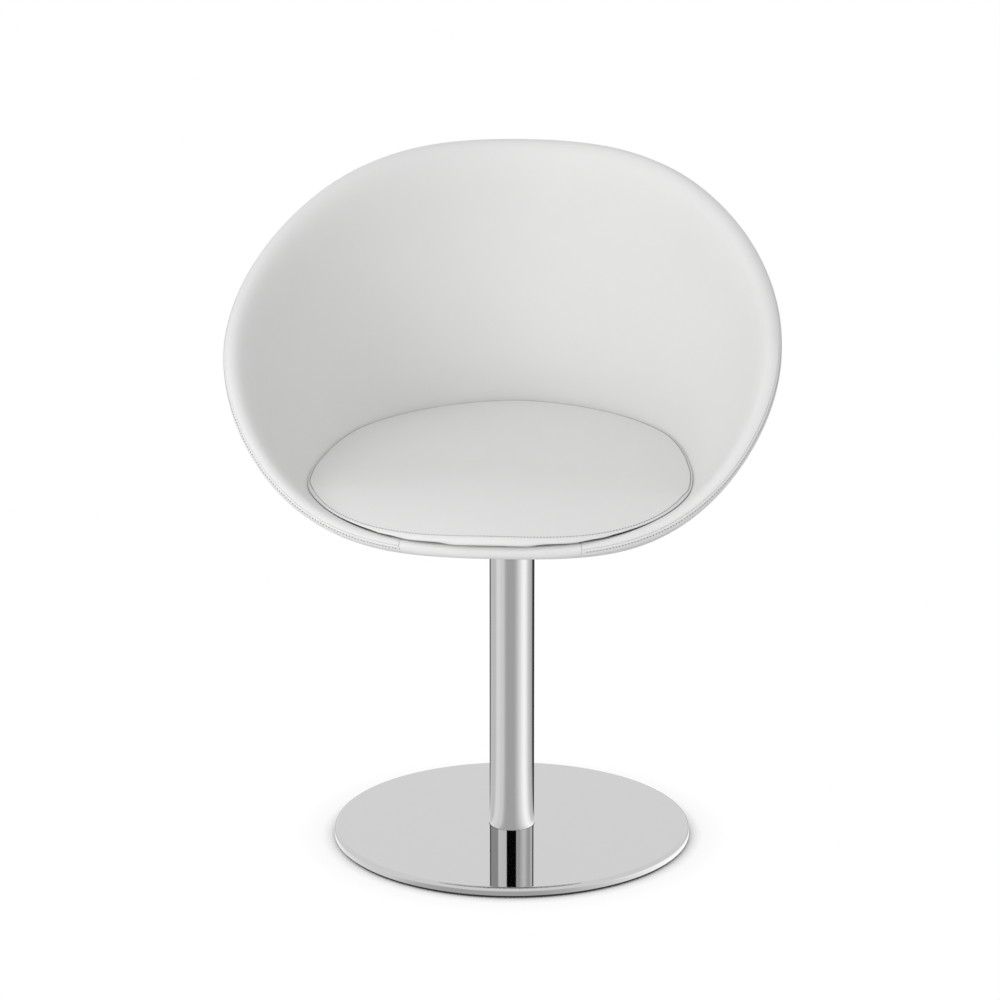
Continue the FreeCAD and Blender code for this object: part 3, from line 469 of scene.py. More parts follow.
class InnerFace:
    """Table of how far the bucket's inner face stands from the axis, by direction and height."""

    def __init__(self, sizes):
        turns = np.linspace(-math.pi, math.pi, 361)
        cuts = Cuts(sizes, turns)
        self.azimuths = np.unwrap(np.angle(cuts.heading * 1j))
        self.heights = np.linspace(sizes.underside + sizes.wall_bottom, HIGHEST_CUSHION, 161)
        swing = np.linspace(0, math.pi, 25)
        rows = []
        for index, side in enumerate(cuts.inner_side()):
            half = cuts.wall[index] / 2
            spoke = cuts.inwards[index] * np.cos(swing) + cuts.up[index] * np.sin(swing)
            roll = side[-1] - cuts.inwards[index] * half + spoke * half
            roll = roll[:int(np.argmax(roll.imag)) + 1]
            line = np.concatenate([side, roll[1:], [roll[-1] + OVER_LIP]])
            rows.append(np.interp(self.heights, line.imag, line.real))
        self.table = np.array(rows)

    def reach(self, places, heights):
        """Distance of the inner face from the axis towards these places at these heights."""
        azimuths = np.angle(places * 1j)
        azimuths = np.where(azimuths < self.azimuths[0], azimuths + 2 * math.pi, azimuths)
        azimuths = np.where(azimuths > self.azimuths[-1], azimuths - 2 * math.pi, azimuths)
        row = np.interp(azimuths, self.azimuths, np.arange(len(self.azimuths)))
        column = np.interp(heights, self.heights, np.arange(len(self.heights)))
        low_row = np.minimum(row.astype(int), len(self.azimuths) - 2)
        low_column = np.minimum(column.astype(int), len(self.heights) - 2)
        row_part, column_part = row - low_row, column - low_column
        near = (self.table[low_row, low_column] * (1 - column_part)
                + self.table[low_row, low_column + 1] * column_part)
        far = (self.table[low_row + 1, low_column] * (1 - column_part)
               + self.table[low_row + 1, low_column + 1] * column_part)
        return near * (1 - row_part) + far * row_part

    def keep_inside(self, points, clear):
        """Points pulled towards the axis where they are nearer than this to the inner face."""
        places = points[:, 0] + 1j * points[:, 1]
        limit = self.reach(places, points[:, 2]) - clear
        distance = np.maximum(np.abs(places), 1e-9)
        places = np.where(distance > limit, places / distance * limit, places)
        return np.stack([places.real, places.imag, points[:, 2]], axis=1)


# Shape of the cushion


def cushion_half(sizes, along):
    """Half width of the cushion at these places."""
    front = np.clip((sizes.widest_y - along) / (sizes.widest_y - sizes.front_y), 0, 1)
    back = np.clip((along - sizes.widest_y) / (sizes.back_y - sizes.widest_y), 0, 1)
    ahead = (1 - front ** sizes.front_power) ** (1 / sizes.front_power)
    behind = (1 - back ** sizes.back_power) ** (1 / sizes.back_power)
    return sizes.half_width * np.where(along < sizes.widest_y, ahead, behind)


def cushion_height(sizes, across, along):
    """Height of the cushion's top at these places."""
    front = np.clip((sizes.waterfall_y - along) / (sizes.waterfall_y - sizes.front_y), 0, 1)
    back = np.clip((along - sizes.waterfall_y) / (sizes.back_y - sizes.waterfall_y), 0, 1)
    middle = sizes.top - sizes.front_drop * front ** sizes.waterfall_power - sizes.back_drop * back ** 2
    half = np.maximum(cushion_half(sizes, along), 1e-6)
    return middle - sizes.crown * (half / sizes.half_width) * np.minimum(np.abs(across) / half, 1) ** 2


def cushion_plan(sizes, count):
    """Evenly spaced points round the cushion's plan, and their outward directions."""
    turns = np.linspace(0, 2 * math.pi, 4001)
    forwards = np.cos(turns)
    power = np.where(forwards > 0, sizes.front_power, sizes.back_power)
    reach = np.where(forwards > 0, sizes.widest_y - sizes.front_y, sizes.back_y - sizes.widest_y)
    places = (sizes.half_width * signed_power(np.sin(turns), power)
              + 1j * (sizes.widest_y - reach * signed_power(forwards, power)))
    walked = np.concatenate([[0], np.cumsum(np.abs(np.diff(places)))])
    stops = np.linspace(0, walked[-1], count, endpoint=False)
    even = np.interp(stops, walked, places.real) + 1j * np.interp(stops, walked, places.imag)
    along = np.roll(even, -1) - np.roll(even, 1)
    return even, -1j * along / np.abs(along)


AROUND = 176
SEAM_INSETS = (0.0, 0.0006, 0.0014, 0.0032, 0.0055)
STITCH_RINGS = 3  # rings from the seam in to the stitches
SEAM_DEPTH = 0.0012
CUSHION_MIDDLE = (0, -0.13, 0.43)
FAN_BEHIND = 0.03  # from the widest place back to where the rings start
BOXING_ROWS = 14
TOP_RINGS = 20
BOTTOM_RINGS = 8


def cushion_rings(sizes, face):
    """Rings of points from the middle of the top, over the seam and boxing, to the underside."""
    plan, outwards = cushion_plan(sizes, AROUND)
    middle = 1j * (sizes.widest_y + FAN_BEHIND)
    edge = plan - outwards * sizes.draw_in
    seam_height = cushion_height(sizes, edge.real, edge.imag)
    edge_points = np.stack([edge.real, edge.imag, seam_height], axis=1)
    edge_points = face.keep_inside(edge_points, sizes.clear)
    edge = edge_points[:, 0] + 1j * edge_points[:, 1]
    rings, free = [], []
    inner_inset = SEAM_INSETS[-1]
    for index in range(1, TOP_RINGS + 1):
        part = index / TOP_RINGS
        place = middle + (edge - middle) * part * (1 - inner_inset / np.abs(edge - middle))
        rings.append(np.stack([place.real, place.imag, cushion_height(sizes, place.real, place.imag)], axis=1))
        free.append(1.0)
    for inset in reversed(SEAM_INSETS[:-1]):
        place = middle + (edge - middle) * (1 - inset / np.abs(edge - middle))
        height = cushion_height(sizes, place.real, place.imag)
        rings.append(np.stack([place.real, place.imag, height], axis=1))
        free.append(0.0)
    seam_ring = len(rings) - 1
    drops = SEAM_INSETS[1:]
    for drop in drops:
        rings.append((seam_height - drop, drop))
        free.append(0.0 if drop < SEAM_INSETS[-2] else 0.5)
    depth = seam_height - sizes.bottom
    for row in range(1, BOXING_ROWS + 1):
        part = drops[-1] + (depth - drops[-1]) * row / BOXING_ROWS
        rings.append((seam_height - part, part))
        free.append(1.0 if row < BOXING_ROWS * 0.45 else 0.0)
    for index in range(seam_ring + 1, len(rings)):
        height, part = rings[index]
        bulge = sizes.draw_in * np.sin(math.pi * np.clip(part / depth, 0, 1)) ** 0.7
        place = edge + outwards * bulge
        points = np.stack([place.real, place.imag, height], axis=1)
        rings[index] = face.keep_inside(points, sizes.clear)
    last = rings[-1][:, 0] + 1j * rings[-1][:, 1]
    for index in range(1, BOTTOM_RINGS):
        place = middle + (last - middle) * (1 - index / BOTTOM_RINGS)
        rings.append(np.stack([place.real, place.imag, np.full(len(place), sizes.bottom)], axis=1))
        free.append(0.0)
    top = (0, middle.imag, float(cushion_height(sizes, np.array([0.0]), np.array([middle.imag]))[0]))
    low = (0, middle.imag, sizes.bottom)
    return rings, free, seam_ring, top, low


def cushion_mesh(name, rings, top, low):
    """Closed mesh of the cushion's rings with a point in the middle of the top and underside."""
    points = np.vstack(rings + [np.array([top]), np.array([low])])
    count = AROUND
    faces = []
    for face in grid_faces(len(rings), count, closed=True):
        faces.append(face[::-1])
    top_index = len(rings) * count
    low_index = top_index + 1
    last = (len(rings) - 1) * count
    for index in range(count):
        right = (index + 1) % count
        faces.append((top_index, index, right))
        faces.append((low_index, last + right, last + index))
    return new_mesh_object(name, points, faces)


CLOTH = {"quality": 5, "mass": 0.3, "tension_stiffness": 20, "compression_stiffness": 20, "shear_stiffness": 8,
         "bending_stiffness": 1.5}


def stretch_cover(item, free, sizes):
    """Blow the cover up against its filling by a cloth simulation, and give the moved points."""
    before = np.array([vertex.co for vertex in item.data.vertices])
    held = item.vertex_groups.new(name="held")
    for index, weight in enumerate(np.repeat(1 - np.array(free), AROUND)):
        if weight > 0:
            held.add([index], float(weight), "REPLACE")
    held.add([len(before) - 1], 1.0, "REPLACE")
    cloth = item.modifiers.new("cover", "CLOTH")
    settings = cloth.settings
    for name, value in CLOTH.items():
        setattr(settings, name, value)
    settings.use_pressure = True
    settings.uniform_pressure_force = sizes.pressure
    settings.vertex_group_mass = held.name
    settings.effector_weights.gravity = 0
    scene = bpy.context.scene
    for step in range(1, sizes.frames + 1):
        scene.frame_set(step)
    depsgraph = bpy.context.evaluated_depsgraph_get()
    after = np.array([vertex.co for vertex in item.evaluated_get(depsgraph).data.vertices])
    item.modifiers.clear()
    item.vertex_groups.clear()
    scene.frame_set(1)
    moved = after - before
    far = np.linalg.norm(moved, axis=1, keepdims=True)
    return before + moved * (sizes.swell * np.tanh(far / sizes.swell) / np.maximum(far, 1e-9))


# Shader node groups and materials


def feed(tree, socket, item):
    """Set a socket to a plain value, or link an output to it."""
    if isinstance(item, bpy.types.NodeSocket):
        tree.links.new(item, socket)
    else:
        socket.default_value = item


def add_node(tree, kind, feeds=None, **values):
    """New node with some of its properties set and some of its inputs fed."""
    node = tree.nodes.new(kind)
    for name, value in values.items():
        setattr(node, name, value)
    for name, item in (feeds or {}).items():
        feed(tree, node.inputs[name], item)
    return node


def empty_tree(owner, output_kind="ShaderNodeOutputMaterial"):
    """Cleared node tree of a material or world, and the input of its new output."""
    owner.use_nodes = True
    tree = owner.node_tree
    tree.nodes.clear()
    return tree, tree.nodes.new(output_kind).inputs["Surface"]


def simple_shader(tree, kind, tone, **feeds):
    """Output of a simple shader in this colour."""
    return add_node(tree, kind, {"Color": tone, **feeds}).outputs[0]


def mix_shaders(tree, part, first, second):
    """Output of a mix from the first shader to the second."""
    return add_node(tree, "ShaderNodeMixShader", {0: part, 1: first, 2: second}).outputs[0]


def math_node(tree, operation, first, second):
    """Math on two values, each a number or an output."""
    return add_node(tree, "ShaderNodeMath", {0: first, 1: second}, operation=operation).outputs[0]


def finish_group(name, inputs):
    """Empty shader node group from named values to a finish's colour, roughness and height."""
    tree = bpy.data.node_groups.new(name, "ShaderNodeTree")
    sockets = [("Vector", "NodeSocketVector", None), ("Colour", "NodeSocketColor", (0.8, 0.8, 0.8, 1))]
    for socket, kind, default in sockets + [(socket, "NodeSocketFloat", value) for socket, value in inputs]:
        made = tree.interface.new_socket(name=socket, in_out="INPUT", socket_type=kind)
        if default is not None:
            made.default_value = default
    for socket, kind in (("Colour", "NodeSocketColor"), ("Roughness", "NodeSocketFloat"),
                         ("Height", "NodeSocketFloat")):
        tree.interface.new_socket(name=socket, in_out="OUTPUT", socket_type=kind)
    return tree, tree.nodes.new("NodeGroupInput").outputs, tree.nodes.new("NodeGroupOutput").inputs


def noise_node(tree, vector, scale, detail=3, roughness=0.5):
    """Noise texture on these coordinates."""
    feeds = {"Vector": vector, "Scale": scale, "Detail": detail, "Roughness": roughness}
    return add_node(tree, "ShaderNodeTexNoise", feeds).outputs["Fac"]


def range_node(tree, value, low, high, to_low, to_high):
    """Value moved from one range to another."""
    feeds = {"Value": value, "From Min": low, "From Max": high, "To Min": to_low, "To Max": to_high}
    return add_node(tree, "ShaderNodeMapRange", feeds).outputs["Result"]


def scaled_colour(tree, tone, factor):
    """Colour times a factor."""
    return add_node(tree, "ShaderNodeVectorMath", {0: tone, "Scale": factor}, operation="SCALE").outputs["Vector"]


def hide_group():
    """Fine pebbled hide: colour, roughness and height, with soft clouds over it, and a painted shade that darkens
    the colour slightly in the grain's low creases and pores.
    """
    tree, given, result = finish_group("hide_grain", [
        ("Grain scale", 900.0), ("Cloud scale", 9.0), ("Cloud", 0.03), ("Roughness", 0.45)])
    cells = add_node(tree, "ShaderNodeTexVoronoi", {"Vector": given["Vector"], "Scale": given["Grain scale"]},
                     feature="DISTANCE_TO_EDGE")
    pebble = range_node(tree, cells.outputs["Distance"], 0.0, 0.22, 0.0, 1.0)
    pores = noise_node(tree, given["Vector"], math_node(tree, "MULTIPLY", given["Grain scale"], 0.35), 4)
    height = math_node(tree, "ADD", math_node(tree, "MULTIPLY", pebble, 0.55),
                       math_node(tree, "MULTIPLY", pores, 0.45))
    clouds = noise_node(tree, given["Vector"], given["Cloud scale"], 3)
    tone = range_node(tree, clouds, 0.25, 0.75, math_node(tree, "SUBTRACT", 1.0, given["Cloud"]), 1.0)
    # Colour is the clouds' random tone times a painted shade: up to 2.5 % darker where the grain's height is low,
    # in the creases between pebbles and in the pores.
    shade = math_node(tree, "MULTIPLY", tone, range_node(tree, height, 0.0, 1.0, 0.975, 1.0))
    spread = range_node(tree, clouds, 0.3, 0.7, -0.05, 0.05)
    feed(tree, result["Colour"], scaled_colour(tree, given["Colour"], shade))
    feed(tree, result["Roughness"], math_node(tree, "ADD", given["Roughness"], spread))
    feed(tree, result["Height"], height)
    return tree


def mottle_group():
    """Plain finish with fine mottling: colour, roughness and height."""
    tree, given, result = finish_group("fine_mottle", [
        ("Scale", 300.0), ("Strength", 0.1), ("Roughness", 0.5), ("Roughness spread", 0.05)])
    speckle = noise_node(tree, given["Vector"], given["Scale"], 4, 0.6)
    tone = range_node(tree, speckle, 0.3, 0.7, math_node(tree, "SUBTRACT", 1.0, given["Strength"]), 1.0)
    broad = noise_node(tree, given["Vector"], math_node(tree, "MULTIPLY", given["Scale"], 0.13), 3)
    centred = math_node(tree, "SUBTRACT", broad, 0.5)
    spread = math_node(tree, "MULTIPLY", centred, given["Roughness spread"])
    feed(tree, result["Colour"], scaled_colour(tree, given["Colour"], tone))
    feed(tree, result["Roughness"], math_node(tree, "ADD", given["Roughness"], spread))
    feed(tree, result["Height"], speckle)
    return tree


def finish_material(name, group, values, tone, bump, **shader_values):
    """Material on Object coordinates from a node group that gives colour, roughness and height."""
    material = bpy.data.materials.new(name)
    tree, surface = empty_tree(material)
    place = tree.nodes.new("ShaderNodeTexCoord").outputs["Object"]
    effect = add_node(tree, "ShaderNodeGroup", node_tree=group)
    for socket, item in {"Vector": place, "Colour": tuple(tone) + (1,), **values}.items():
        feed(tree, effect.inputs[socket], item)
    feeds = {"Base Color": effect.outputs["Colour"], "Roughness": effect.outputs["Roughness"]}
    if bump:
        relief = add_node(tree, "ShaderNodeBump",
                          {"Strength": 1.0, "Distance": bump, "Height": effect.outputs["Height"]})
        feeds["Normal"] = relief.outputs["Normal"]
    feeds.update({socket.replace("_", " "): value for socket, value in shader_values.items()})
    feed(tree, surface, add_node(tree, "ShaderNodeBsdfPrincipled", feeds).outputs["BSDF"])
    return material


def get_group(name, maker):
    """Node group under this name, made once."""
    return bpy.data.node_groups.get(name) or maker()


def leather_material():
    """Smooth white leather, made once."""
    made = bpy.data.materials.get("white_leather")
    if made:
        return made
    looks = bpy.context.scene.armchair_finishes
    return finish_material("white_leather", get_group("hide_grain", hide_group),
                           {"Roughness": looks.leather_roughness, "Grain scale": 850.0, "Cloud": 0.02},
                           looks.leather, 0.00004, Specular_IOR_Level=0.42)


def mottled(name, tone, roughness, bump, scale=300.0, strength=0.1, spread=0.06, **shader_values):
    """Material with the fine mottle group."""
    values = {"Roughness": roughness, "Roughness spread": spread, "Scale": scale, "Strength": strength}
    return finish_material(name, get_group("fine_mottle", mottle_group), values, tone, bump, **shader_values)


# Operators


class ARMCHAIR_OT_stage(bpy.types.Operator):
    """Camera at the photograph's angle, white floor and world, and soft light"""

    bl_idname = "armchair.stage"
    bl_label = "Camera and studio"

    def execute(self, context):
        sizes = context.scene.armchair_stage
        make_camera(context, sizes)
        make_world(context, sizes)
        make_floor()
        for name, watts, spans, place in LAMPS:
            make_lamp(context, name, getattr(sizes, watts), spans, Vector(place))
        make_reflection_card(context.scene.armchair_base)
        context.scene.view_settings.view_transform = "Standard"
        return {"FINISHED"}


def make_camera(context, sizes):
    """Camera that looks at the target from the photograph's side."""
    alpha, lift = sizes.azimuth, sizes.elevation
    back = Vector((math.sin(alpha) * math.cos(lift), -math.cos(alpha) * math.cos(lift), math.sin(lift)))
    right = Vector((math.cos(alpha), math.sin(alpha), 0))
    up = back.cross(right)
    camera = bpy.data.objects.new("camera", bpy.data.cameras.new("camera"))
    camera.data.lens = sizes.lens
    camera.data.clip_end = 50
    turned = Matrix((right, up, back)).transposed().to_4x4()
    turned.translation = Vector(sizes.target) + back * sizes.distance
    camera.matrix_world = turned
    context.scene.collection.objects.link(camera)
    context.scene.camera = camera


# Lamps as (name, property with the watts, width and height, place). Ramps as (position, grey level);
# the round ones go round the upright axis with the front in the middle.

WHITE = (1, 1, 1, 1)
LAMPS = (
    ("key_light", "key", (1.6, 1.2), (-1.7, -1.6, 1.9)),
    ("front_light", "front", (1.6, 1.6), (-1.0, -2.8, 0.7)),
)
LAMP_AIM = Vector((0, -0.05, 0.5))
FLOOR_HALF = 20
SHADOW_FADE = [(0.200, 0.00), (0.204, 0.50), (0.214, 0.88), (0.245, 1.00)]
# Painted reflection: levels of a glow that only polished metal sees, on the floor and on the card over the disc,
# standing in for the surroundings mirrored in the column and disc.
PAINTED_REFLECTION_ROUND = [
    (0.000, 0.15), (0.105, 0.10), (0.135, 0.70), (0.155, 0.82), (0.250, 0.82), (0.285, 1.10), (0.325, 1.11),
    (0.360, 1.00), (0.390, 0.98), (0.420, 0.68), (0.447, 0.58), (0.535, 0.58), (0.565, 0.70), (0.593, 0.92),
    (0.624, 1.14), (0.656, 1.41), (0.690, 1.56), (0.725, 1.37), (0.767, 0.95), (0.813, 0.76), (0.850, 0.60),
    (0.872, 0.05), (0.930, 0.05), (1.000, 0.15),
]
ROUND_SKY = [
    (0.000, 1.00), (0.050, 1.00), (0.075, 0.10), (0.115, 0.10), (0.140, 0.62), (0.290, 0.62), (0.312, 1.35),
    (0.433, 1.25), (0.438, 0.003), (0.572, 0.003), (0.578, 0.80), (0.620, 0.75), (0.660, 1.10), (0.700, 1.30),
    (0.760, 0.85), (0.800, 0.75), (0.850, 1.20), (0.875, 1.00), (0.890, 0.08), (0.930, 0.10), (0.950, 1.00),
    (1.000, 1.00),
]
ROUND_SOFT = [(0.000, 0.72), (0.200, 1.00), (0.500, 1.00), (0.700, 0.92), (0.850, 0.80), (1.000, 0.72)]


def grey_ramp(tree, factor, stops):
    """Grey level by a factor."""
    ramp = add_node(tree, "ShaderNodeValToRGB", {"Fac": factor})
    elements = ramp.color_ramp.elements
    elements[0].position, elements[1].position = stops[0][0], stops[-1][0]
    for position, _ in stops[1:-1]:
        elements.new(position)
    for element, (position, level) in zip(elements, stops):
        element.position = position
        element.color = (level, level, level, 1)
    return ramp.outputs["Color"]


def round_ramp(tree, vector, stops):
    """Grey level by direction round the upright axis."""
    turn = add_node(tree, "ShaderNodeMapping", {"Vector": vector, "Rotation": (0, 0, math.radians(90))})
    swing = add_node(tree, "ShaderNodeTexGradient", {"Vector": turn.outputs["Vector"]}, gradient_type="RADIAL")
    return grey_ramp(tree, swing.outputs["Fac"], stops)


def make_world(context, sizes):
    """White to the camera, patterned in polished metal, and a soft light from the left on the rest.

    The pattern shows only where metal mirrors metal, so the disc is evenly bright from every side.
    """
    world = bpy.data.worlds.new("studio")
    tree, surface = empty_tree(world, "ShaderNodeOutputWorld")
    path = tree.nodes.new("ShaderNodeLightPath").outputs
    way = tree.nodes.new("ShaderNodeTexCoord").outputs["Generated"]
    twice = math_node(tree, "GREATER_THAN", path["Glossy Depth"], 1.5)
    sky = add_node(tree, "ShaderNodeMix", {0: twice, 6: WHITE, 7: round_ramp(tree, way, ROUND_SKY)},
                   data_type="RGBA")
    soft = simple_shader(tree, "ShaderNodeBackground", round_ramp(tree, way, ROUND_SOFT), Strength=sizes.ambient)
    glow_for_glossy_rays = simple_shader(tree, "ShaderNodeBackground", sky.outputs[2])
    white = simple_shader(tree, "ShaderNodeBackground", WHITE)
    unseen = mix_shaders(tree, path["Is Glossy Ray"], soft, glow_for_glossy_rays)
    feed(tree, surface, mix_shaders(tree, path["Is Camera Ray"], unseen, white))
    context.scene.world = world


def make_floor():
    """White floor that keeps the shadow near the disc; to polished metal it glows in a painted reflection pattern,
    which shows in the column.
    """
    half = FLOOR_HALF
    points = [(-half, -half, 0), (half, -half, 0), (half, half, 0), (-half, half, 0)]
    floor = new_mesh_object("floor", points, [(0, 1, 2, 3)], smooth=False)
    material = bpy.data.materials.new("studio_floor")
    tree, surface = empty_tree(material)
    path = tree.nodes.new("ShaderNodeLightPath").outputs
    place = tree.nodes.new("ShaderNodeTexCoord").outputs["Object"]
    away = add_node(tree, "ShaderNodeVectorMath", {0: place}, operation="LENGTH").outputs["Value"]
    matt = simple_shader(tree, "ShaderNodeBsdfDiffuse", (0.8, 0.8, 0.8, 1))
    white = simple_shader(tree, "ShaderNodeEmission", WHITE)
    # Painted reflection: glossy rays see the floor glow in the round pattern instead of its own colour.
    glow_for_glossy_rays = simple_shader(tree, "ShaderNodeEmission", round_ramp(tree, place, PAINTED_REFLECTION_ROUND))
    seen = mix_shaders(tree, grey_ramp(tree, away, SHADOW_FADE), matt, white)
    unseen = mix_shaders(tree, path["Is Glossy Ray"], matt, glow_for_glossy_rays)
    feed(tree, surface, mix_shaders(tree, path["Is Camera Ray"], unseen, seen))
    set_material(floor, material)


def make_reflection_card(sizes):
    """Card over the disc that only polished metal sees from above; it glows in the same painted reflection pattern
    as the floor.
    """
    count, lift = 64, 0.0003
    points, faces = [], []
    for radius in (sizes.column_radius + lift, sizes.disc_radius):
        for index in range(count):
            turn = 2 * math.pi * index / count
            points.append((radius * math.cos(turn), radius * math.sin(turn), sizes.disc_top + lift))
    for index in range(count):
        right = (index + 1) % count
        faces.append((index, count + index, count + right, right))
    card = new_mesh_object("reflection_card", points, faces, smooth=False)
    material = bpy.data.materials.new("reflection_card")
    tree, surface = empty_tree(material)
    place = tree.nodes.new("ShaderNodeTexCoord").outputs["Object"]
    under = tree.nodes.new("ShaderNodeNewGeometry").outputs["Backfacing"]
    # Painted reflection: the card glows in the round pattern on one face and lets rays through on the other.
    glow_for_glossy_rays = simple_shader(tree, "ShaderNodeEmission", round_ramp(tree, place, PAINTED_REFLECTION_ROUND))
    clear = tree.nodes.new("ShaderNodeBsdfTransparent").outputs[0]
    feed(tree, surface, mix_shaders(tree, under, glow_for_glossy_rays, clear))
    set_material(card, material)
    card.visible_camera = card.visible_diffuse = card.visible_shadow = card.visible_transmission = False


def make_lamp(context, name, watts, spans, place):
    """Soft rectangular lamp that neither the camera nor polished metal sees."""
    lamp = bpy.data.lights.new(name, "AREA")
    lamp.energy = watts
    lamp.shape = "RECTANGLE"
    lamp.size, lamp.size_y = spans
    item = bpy.data.objects.new(name, lamp)
    turned = (LAMP_AIM - place).to_track_quat("-Z", "Y").to_matrix().to_4x4()
    item.matrix_world = Matrix.Translation(place) @ turned
    item.visible_camera = item.visible_glossy = False
    context.scene.collection.objects.link(item)


class ARMCHAIR_OT_base(bpy.types.Operator):
    """Polished disc and column, turned smooth"""

    bl_idname = "armchair.base"
    bl_label = "Disc and column"

    def execute(self, context):
        sizes = context.scene.armchair_base
        looks = context.scene.armchair_finishes
        chrome = mottled("polished_chrome", looks.chrome, 0.035, 0, scale=60.0, strength=0.012, spread=0.03,
                         Metallic=1.0)
        disc = turned_object("polished_disc", disc_profile(sizes), sizes.facets)
        set_material(disc, chrome)
        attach(disc, "pedestal")
        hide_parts("base_cover")
        column = turned_object("polished_column", column_profile(sizes), sizes.facets)
        set_material(column, chrome)
        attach(column, "pedestal")
        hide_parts("column_tube")
        return {"FINISHED"}


def corner(centre, radius, first, last, count):
    """Points round a corner of a profile, between two angles in degrees."""
    points = []
    for index in range(count + 1):
        turn = math.radians(first + (last - first) * index / count)
        points.append((centre[0] + radius * math.cos(turn), centre[1] + radius * math.sin(turn)))
    return points


def disc_profile(sizes):
    """Profile of the disc's cover, kept sharp beside its corners by close points."""
    near = 0.0003
    hole = sizes.column_radius + sizes.hole_gap
    radius, top, low, sheet = sizes.disc_radius, sizes.disc_top, sizes.disc_low, sizes.sheet
    outer = corner((radius - sizes.disc_round, top - sizes.disc_round), sizes.disc_round, 0, 90, 10)
    inside = corner((radius - sizes.disc_round, top - sizes.disc_round), sizes.disc_round - sheet, 90, 0, 6)
    return ([(radius - near, low), (radius, low + near)] + [(radius, top - sizes.disc_round - near)] + outer
            + [(radius - sizes.disc_round - near * 2, top), (hole + near * 2, top), (hole + near, top),
               (hole, top - near), (hole, top - sheet)]
            + inside + [(radius - sheet, low + near), (radius - sheet + near, low)])


def column_profile(sizes):
    """Profile of the column tube."""
    near = 0.0003
    radius, low, top = sizes.column_radius, sizes.column_low, sizes.column_top
    inner = radius - sizes.column_wall
    return [(inner, low), (radius - near, low), (radius, low + near), (radius, low + near * 3),
            (radius, top - sizes.chamfer - near * 2), (radius, top - sizes.chamfer),
            (radius - sizes.chamfer, top), (radius - sizes.chamfer - near, top), (inner, top)]


class ARMCHAIR_OT_bucket(bpy.types.Operator):
    """Leather of the bucket in three sewn pieces: outside, inside and front panel"""

    bl_idname = "armchair.bucket"
    bl_label = "Bucket leather"

    def execute(self, context):
        sizes = context.scene.armchair_bucket
        leather = leather_material()
        edge = sizes.panel_angle
        rest = (edge, 2 * math.pi - edge)
        pieces = [
            skin_piece("bucket_outside", sizes, rest, under_to_seam, (False, True), 220, 44),
            skin_piece("bucket_inside", sizes, rest, seam_to_lining, (True, False), 220, 56),
            skin_piece("front_lip", sizes, (-edge, edge), under_to_lining, (False, False), 40, 90),
        ]
        replaced = [("outer_cover", "outer_foam"), ("inner_cover", "inner_foam"), ("front_panel",)]
        for piece, nodes in zip(pieces, replaced):
            set_material(piece, leather)
            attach(piece, "seat")
            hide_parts(*nodes)
        return {"FINISHED"}


class ARMCHAIR_OT_cushion(bpy.types.Operator):
    """Loose seat cushion, its cover stretched over the filling"""

    bl_idname = "armchair.cushion"
    bl_label = "Seat cushion"

    def execute(self, context):
        sizes = context.scene.armchair_cushion
        face = InnerFace(context.scene.armchair_bucket)
        rings, free, seam_ring, top, low = cushion_rings(sizes, face)
        item = cushion_mesh("seat_cushion", rings, top, low)
        points = np.array([vertex.co for vertex in item.data.vertices])
        points = stretch_cover(item, free, sizes)
        points = face.keep_inside(points, sizes.clear)
        sink_seam(points, seam_ring)
        item.data.vertices.foreach_set("co", points.ravel())
        item.data.update()
        rounder = item.modifiers.new("rounder", "SUBSURF")
        rounder.levels = rounder.render_levels = 1
        bake_modifiers(item)
        item.data.shade_smooth()
        set_material(item, leather_material())
        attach(item, "cushion")
        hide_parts("cushion_cover", "cushion_foam")
        ring = seam_ring - STITCH_RINGS
        path = points[ring * AROUND:(ring + 1) * AROUND]
        context.scene["cushion_path"] = [float(value) for value in path.ravel()]
        return {"FINISHED"}


def sink_seam(points, seam_ring):
    """Draw the seam into the cushion so that it lies in a narrow valley."""
    middle = np.array(CUSHION_MIDDLE)
    for ring, part in ((seam_ring, 1.0), (seam_ring - 1, 0.35), (seam_ring + 1, 0.35)):
        rows = slice(ring * AROUND, (ring + 1) * AROUND)
        inwards = middle - points[rows]
        inwards /= np.linalg.norm(inwards, axis=1, keepdims=True)
        points[rows] += inwards * SEAM_DEPTH * part


LONGEST_SEAM = 100.0


class ARMCHAIR_OT_stitches(bpy.types.Operator):
    """Stitches beside the seams of the bucket and the cushion, with dark beads of painted shade where the needle
    holes are
    """

    bl_idname = "armchair.stitches"
    bl_label = "Stitches"

    def execute(self, context):
        scene = context.scene
        stitch = scene.armchair_stitches
        sizes = scene.armchair_bucket
        looks = scene.armchair_finishes
        thread = mottled("sewing_thread", looks.thread, 0.6, 0.00005, scale=2500.0, strength=0.15)
        # Needle holes are dark beads on the leather: painted shade in place of the shadow inside real holes.
        hole = mottled("needle_hole", looks.hole, 0.7, 0, scale=900.0, strength=0.2)
        edge = sizes.panel_angle + math.radians(0.7)
        turns = np.linspace(edge, 2 * math.pi - edge, 900)
        skin = Skin(sizes, turns)
        path = skin.place(skin.seam - stitch.inset, np.full(len(turns), stitch.thread * 0.15))
        make_stitches("rim_stitches", path, False, "seat", stitch, thread, hole)
        path = np.array(scene["cushion_path"]).reshape(-1, 3)
        make_stitches("cushion_stitches", path, True, "cushion", stitch, thread, hole)
        del scene["cushion_path"]
        return {"FINISHED"}


